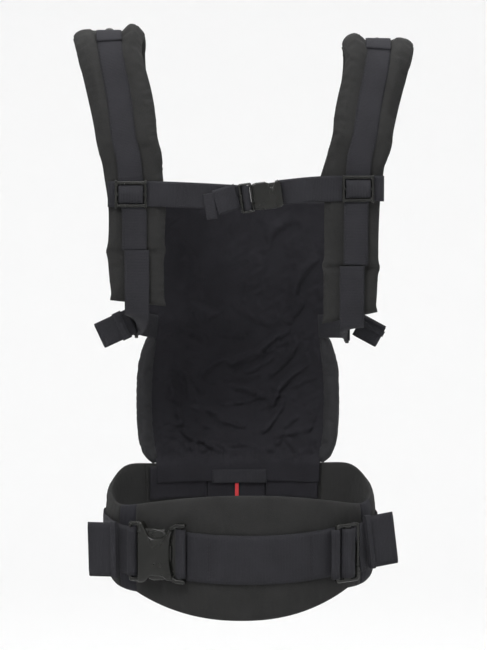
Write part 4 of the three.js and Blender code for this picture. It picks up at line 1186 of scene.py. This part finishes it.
def make_chest():
    pad_face = ZONE_Y - STRAP_THICKNESS / 2
    y = pad_face - 0.35 - CHEST_WEB[1] / 2
    slider_y = pad_face - CHEST_WEB[1] - 1.05 - STRAP_WEB[1] - 1.2
    routes = {"left": [(-131, 353), (-84, 353), (-45, 351.5), (6, 348.6)],
              "right": [(33, 353.6), (66, 357), (88, 358), (138, 358)]}
    for shoulder in SHOULDERS:
        side = shoulder["side"]
        path = smooth_path([(x, y, z) for x, z in routes[side]], 90)
        _, wide, out = frames(path, UP)
        strip = webbing_strip(f"chest_strap_{side}", path, wide, out, *CHEST_WEB, WEBBING)
        if side == "left":
            body = ("chest_strap", "chest_plug", (-0.07, y * MM, 0.353), (-0.02, y * MM, 0.349))
        else:
            body = "chest_strap"
        finish_piece(strip, body, "webbing", f"chest_webbing_{side}")
        box_x = -60.0 if side == "left" else 72.0
        k = int(np.argmin(np.abs(path[:, 0] - box_x)))
        face = path[k] + out[k] * (CHEST_WEB[1] / 2 + 0.12) * np.sign(-out[k, 1])
        corners = [(-3.5, -10.5), (3.5, -10.5), (3.5, 10.5), (-3.5, 10.5), (-3.5, -10.5)]
        line = resample([face + ACROSS * a + UP * b for a, b in corners], 60)
        outs = np.broadcast_to(np.array([0, -1.0, 0]), line.shape)
        finish_piece(stitches(f"chest_stitching_{side}", [(line, outs)], THREAD), body, "webbing")
        x = shoulder["zone_x"] + shoulder["shift"]
        rim = rounded([(-15.6, -13.8), (-13.4, -13.8), (-13, -12.6), (13, -12.6), (13.4, -13.8),
                       (15.6, -13.8),
                       (15.6, 13.8), (13.4, 13.8), (13, 12.8), (-13, 12.8), (-13.4, 13.8), (-15.6, 13.8)],
                       0.9)
        loops = [rim, rectangle(-12.6, 12.6, 1.6, 9.6, 0.8), rectangle(-12.6, 12.6, -9.4, -1.6, 0.8)]
        slider = moulding(f"height_slider_{side}", loops, 3.0, 1.0, PLASTIC,
                          (x, slider_y, shoulder["slider"]))
        finish_piece(slider, "chest_strap", "plastic", f"chest_slider_{side}")
        bulge(f"height_slider_fold_{side}", (x, slider_y - 0.2, shoulder["slider"]), Matrix.Identity(4),
              (-8.8, 8.8), 23.8, 3.8, "chest_strap", vertical=False)

    turn = Matrix.Rotation(-math.radians(CHEST_BUCKLE["tilt"]), 4, "Y")
    at = CHEST_BUCKLE["at"]
    rim = rounded([(-2, -12.5), (2, -13.5), (23, -13.5), (26, -11), (26, 11), (23.5, 13.5), (21, 12.5),
                   (17.5, 7.5),
                   (14.5, 7.5), (11.5, 13.2), (2, 13.5), (-2, 12.5)], [1, 2, 3, 3, 3, 1, 1, 2, 2, 2, 2, 1])
    body = moulding("chest_housing_shell", [rim], 8, 1.5, PLASTIC, at, turn)
    latch = moulding("chest_housing_latch", [rectangle(12.5, 23.5, 5, 11.6, 1.4)], 5, 1.2, PLASTIC, at,
                     turn, 0.5)
    finish_piece(join("chest_housing", [body, latch]), "chest_strap", "plastic", "chest_buckle_housing")
    loops = [rectangle(-15.6, -2.4, -14.5, 14.5, 2.4), rectangle(-13, -10.4, -12.4, 12.4, 0.7),
             rectangle(-7.6, -4.6, -12.4, 12.4, 0.7)]
    plug = moulding("chest_plug_frame", loops, 5.4, 1.3, PLASTIC, at, turn)
    rib = moulding("chest_plug_rib", [rectangle(-3, 12, -3.2, 3.2, 1)], 3.4, 0.6, PLASTIC, at, turn)
    collar = moulding("chest_plug_collar", [rectangle(-4.2, 0.8, -12.0, 12.0, 0.6)], 3.6, 0.5, PLASTIC, at,
                      turn)
    finish_piece(join("chest_plug_body", [plug, rib, collar]), "chest_plug", "plastic", "chest_buckle_plug")
    for place, sign in (("upper", 1), ("lower", -1)):
        arm = rounded([(-2, sign * 6.6), (-2, sign * 10), (8, sign * 12.8), (14, sign * 12), (15, sign * 8),
                       (6, sign * 7)], [0.6, 1, 2, 2, 1.5, 1])
        prong = moulding(f"chest_latch_{place}", [arm], 3.6, 0.7, PLASTIC, at, turn)
        finish_piece(prong, f"chest_prong_{place}", "plastic", f"chest_buckle_prong_{place}")
    bulge("chest_bar_fold", at, turn, (-12.4, -4.8), 24.4, 3.4, "chest_plug", vertical=True)

    tail_y = y - CHEST_WEB[1] / 2 - 0.35 - 1.6
    path = smooth_path([(-5, tail_y, 351), (-15, tail_y, 347.8), (-26.5, tail_y, 344.2)], 30)
    _, wide, out = frames(path, UP)
    tail = webbing_strip("chest_tail_fold", path, wide, out, 25, 3.0, WEBBING)
    finish_piece(tail, "chest_plug", "webbing", "chest_tail")
    lean = math.radians(9)
    path = resample([(-33.5, tail_y, 353.5), (-33.5 + 25 * math.sin(lean), tail_y,
                                              353.5 - 25 * math.cos(lean))], 20)
    _, wide, out = frames(path)
    loop = webbing_strip("chest_keeper_band", path, wide, out, 10.0, 5.2, WEBBING)
    finish_piece(loop, "chest_plug", "webbing", "chest_keeper")


def button(name, node_name, axis, radius, height):
    """Turned snap or button: flange, step and shallow dome, standing along an axis."""
    low, high = box_mm(node_name)
    axis = unit(np.asarray(axis, float))
    side = unit(np.cross(axis, ACROSS + 0.1 * UP))
    other = np.cross(axis, side)
    shape = [(0.0, -0.5), (0.85, -0.5), (0.95, -0.35), (1.0, -0.1), (0.96, 0.1), (0.82, 0.16), (0.78, 0.3),
             (0.6, 0.44), (0.32, 0.5), (0.0, 0.5)]
    turns = 40
    points = [(low + high) / 2 + axis * shape[0][1] * height]
    for r, h in shape[1:-1]:
        for k in range(turns):
            a = 2 * math.pi * k / turns
            points.append((low + high) / 2 + axis * h * height
                          + radius * r * (math.cos(a) * side + math.sin(a) * other))
    points.append((low + high) / 2 + axis * shape[-1][1] * height)
    faces = [(0, 1 + (k + 1) % turns, 1 + k) for k in range(turns)]
    for row in range(len(shape) - 3):
        start = 1 + row * turns
        faces += [(start + k, start + (k + 1) % turns, start + turns + (k + 1) % turns, start + turns + k)
                  for k in range(turns)]
    last = 1 + (len(shape) - 3) * turns
    faces += [(len(points) - 1, last + k, last + (k + 1) % turns) for k in range(turns)]
    made = build(name, points, faces, PLASTIC, np.zeros((len(points), 2)))
    return finish_piece(made, "carrier", "plastic", node_name)


def make_buttons():
    for side in ("left", "right"):
        button(f"neck_stud_{side}", f"neck_button_{side}", (0, 1, 0.15), 7.0, 4.0)
        button(f"hood_stud_{side}", f"hood_snap_{side}", (0, -0.35, 1), 4.6, 3.4)


# ------------------------------------------------------------------ camera, light and stage

def set_camera():
    azimuth, elevation, distance = math.radians(-2.0), math.radians(6.0), 2.6
    target = Vector((0.003, 0.0, 0.2188))
    back = Vector((math.sin(azimuth) * math.cos(elevation), -math.cos(azimuth) * math.cos(elevation),
                   math.sin(elevation)))
    data = bpy.data.cameras.new("camera")
    data.sensor_fit = "VERTICAL"
    data.sensor_height = 36.0
    data.lens = 36.0 * 2600 / 650
    data.clip_end = 60
    camera = bpy.data.objects.new("camera", data)
    bpy.context.scene.collection.objects.link(camera)
    camera.location = target + back * distance
    camera.rotation_euler = (target - camera.location).to_track_quat("-Z", "Y").to_euler()
    bpy.context.scene.camera = camera


def add_area(name, location, target, size, power, colour=(1, 1, 1)):
    data = bpy.data.lights.new(name, "AREA")
    data.shape = "RECTANGLE"
    data.size, data.size_y = size
    data.energy = power
    data.color = colour
    light = bpy.data.objects.new(name, data)
    bpy.context.scene.collection.objects.link(light)
    light.location = location
    light.rotation_euler = (Vector(target) - Vector(location)).to_track_quat("-Z", "Y").to_euler()


def make_stage():
    """Pale floor that sweeps up into a backdrop on every side, so that each view has a plain ground."""
    floor_z, radius, bend = -0.75, 5.0, 1.6
    profile_points = [(0.0, floor_z), (radius - bend, floor_z)]
    for k in range(1, 13):
        a = k / 12 * math.pi / 2
        profile_points.append((radius - bend + bend * math.sin(a), floor_z + bend * (1 - math.cos(a))))
    profile_points.append((radius, 5.5))
    turns = 64
    points = [(0, 0, floor_z)]
    for r, z in profile_points[1:]:
        for k in range(turns):
            a = 2 * math.pi * k / turns
            points.append((r * math.cos(a), r * math.sin(a), z))
    faces = [(0, 1 + (k + 1) % turns, 1 + k) for k in range(turns)]
    for ring_index in range(len(profile_points) - 2):
        start = 1 + ring_index * turns
        for k in range(turns):
            nxt = (k + 1) % turns
            faces.append((start + k, start + nxt, start + turns + nxt, start + turns + k))
    mesh = bpy.data.meshes.new("backdrop")
    mesh.from_pydata(points, [], faces)
    mesh.polygons.foreach_set("use_smooth", [True] * len(mesh.polygons))
    material, _, shader = new_material("backdrop")
    shader.inputs["Base Color"].default_value = (0.93, 0.93, 0.93, 1)
    shader.inputs["Roughness"].default_value = 1.0
    shader.inputs["Specular IOR Level"].default_value = 0.0
    mesh.materials.append(material)
    stage = bpy.data.objects.new("backdrop", mesh)
    bpy.context.scene.collection.objects.link(stage)


def set_light():
    scene = bpy.context.scene
    scene.view_settings.view_transform = "Standard"
    world = bpy.data.worlds.new("studio")
    world.use_nodes = True
    world.node_tree.nodes["Background"].inputs["Color"].default_value = (1, 1, 1, 1)
    world.node_tree.nodes["Background"].inputs["Strength"].default_value = 1.13
    scene.world = world
    add_area("key", (-0.55, -1.25, 1.45), (0, 0, 0.38), (0.7, 0.7), 24)
    add_area("fill", (1.9, -1.7, 0.9), (0, 0, 0.2), (1.0, 1.0), 4)
    add_area("top", (0.1, 0.1, 1.75), (0, 0, 0.3), (0.9, 0.9), 20)


# ------------------------------------------------------------------ the whole

set_camera()
set_light()
make_stage()
make_belt()
make_lining()
make_shell()
make_seat_edges()
make_base()
make_neck_support()
for shoulder in SHOULDERS:
    make_shoulder(shoulder)
make_waist_webbing()
make_waist_hardware()
make_chest()
make_buttons()
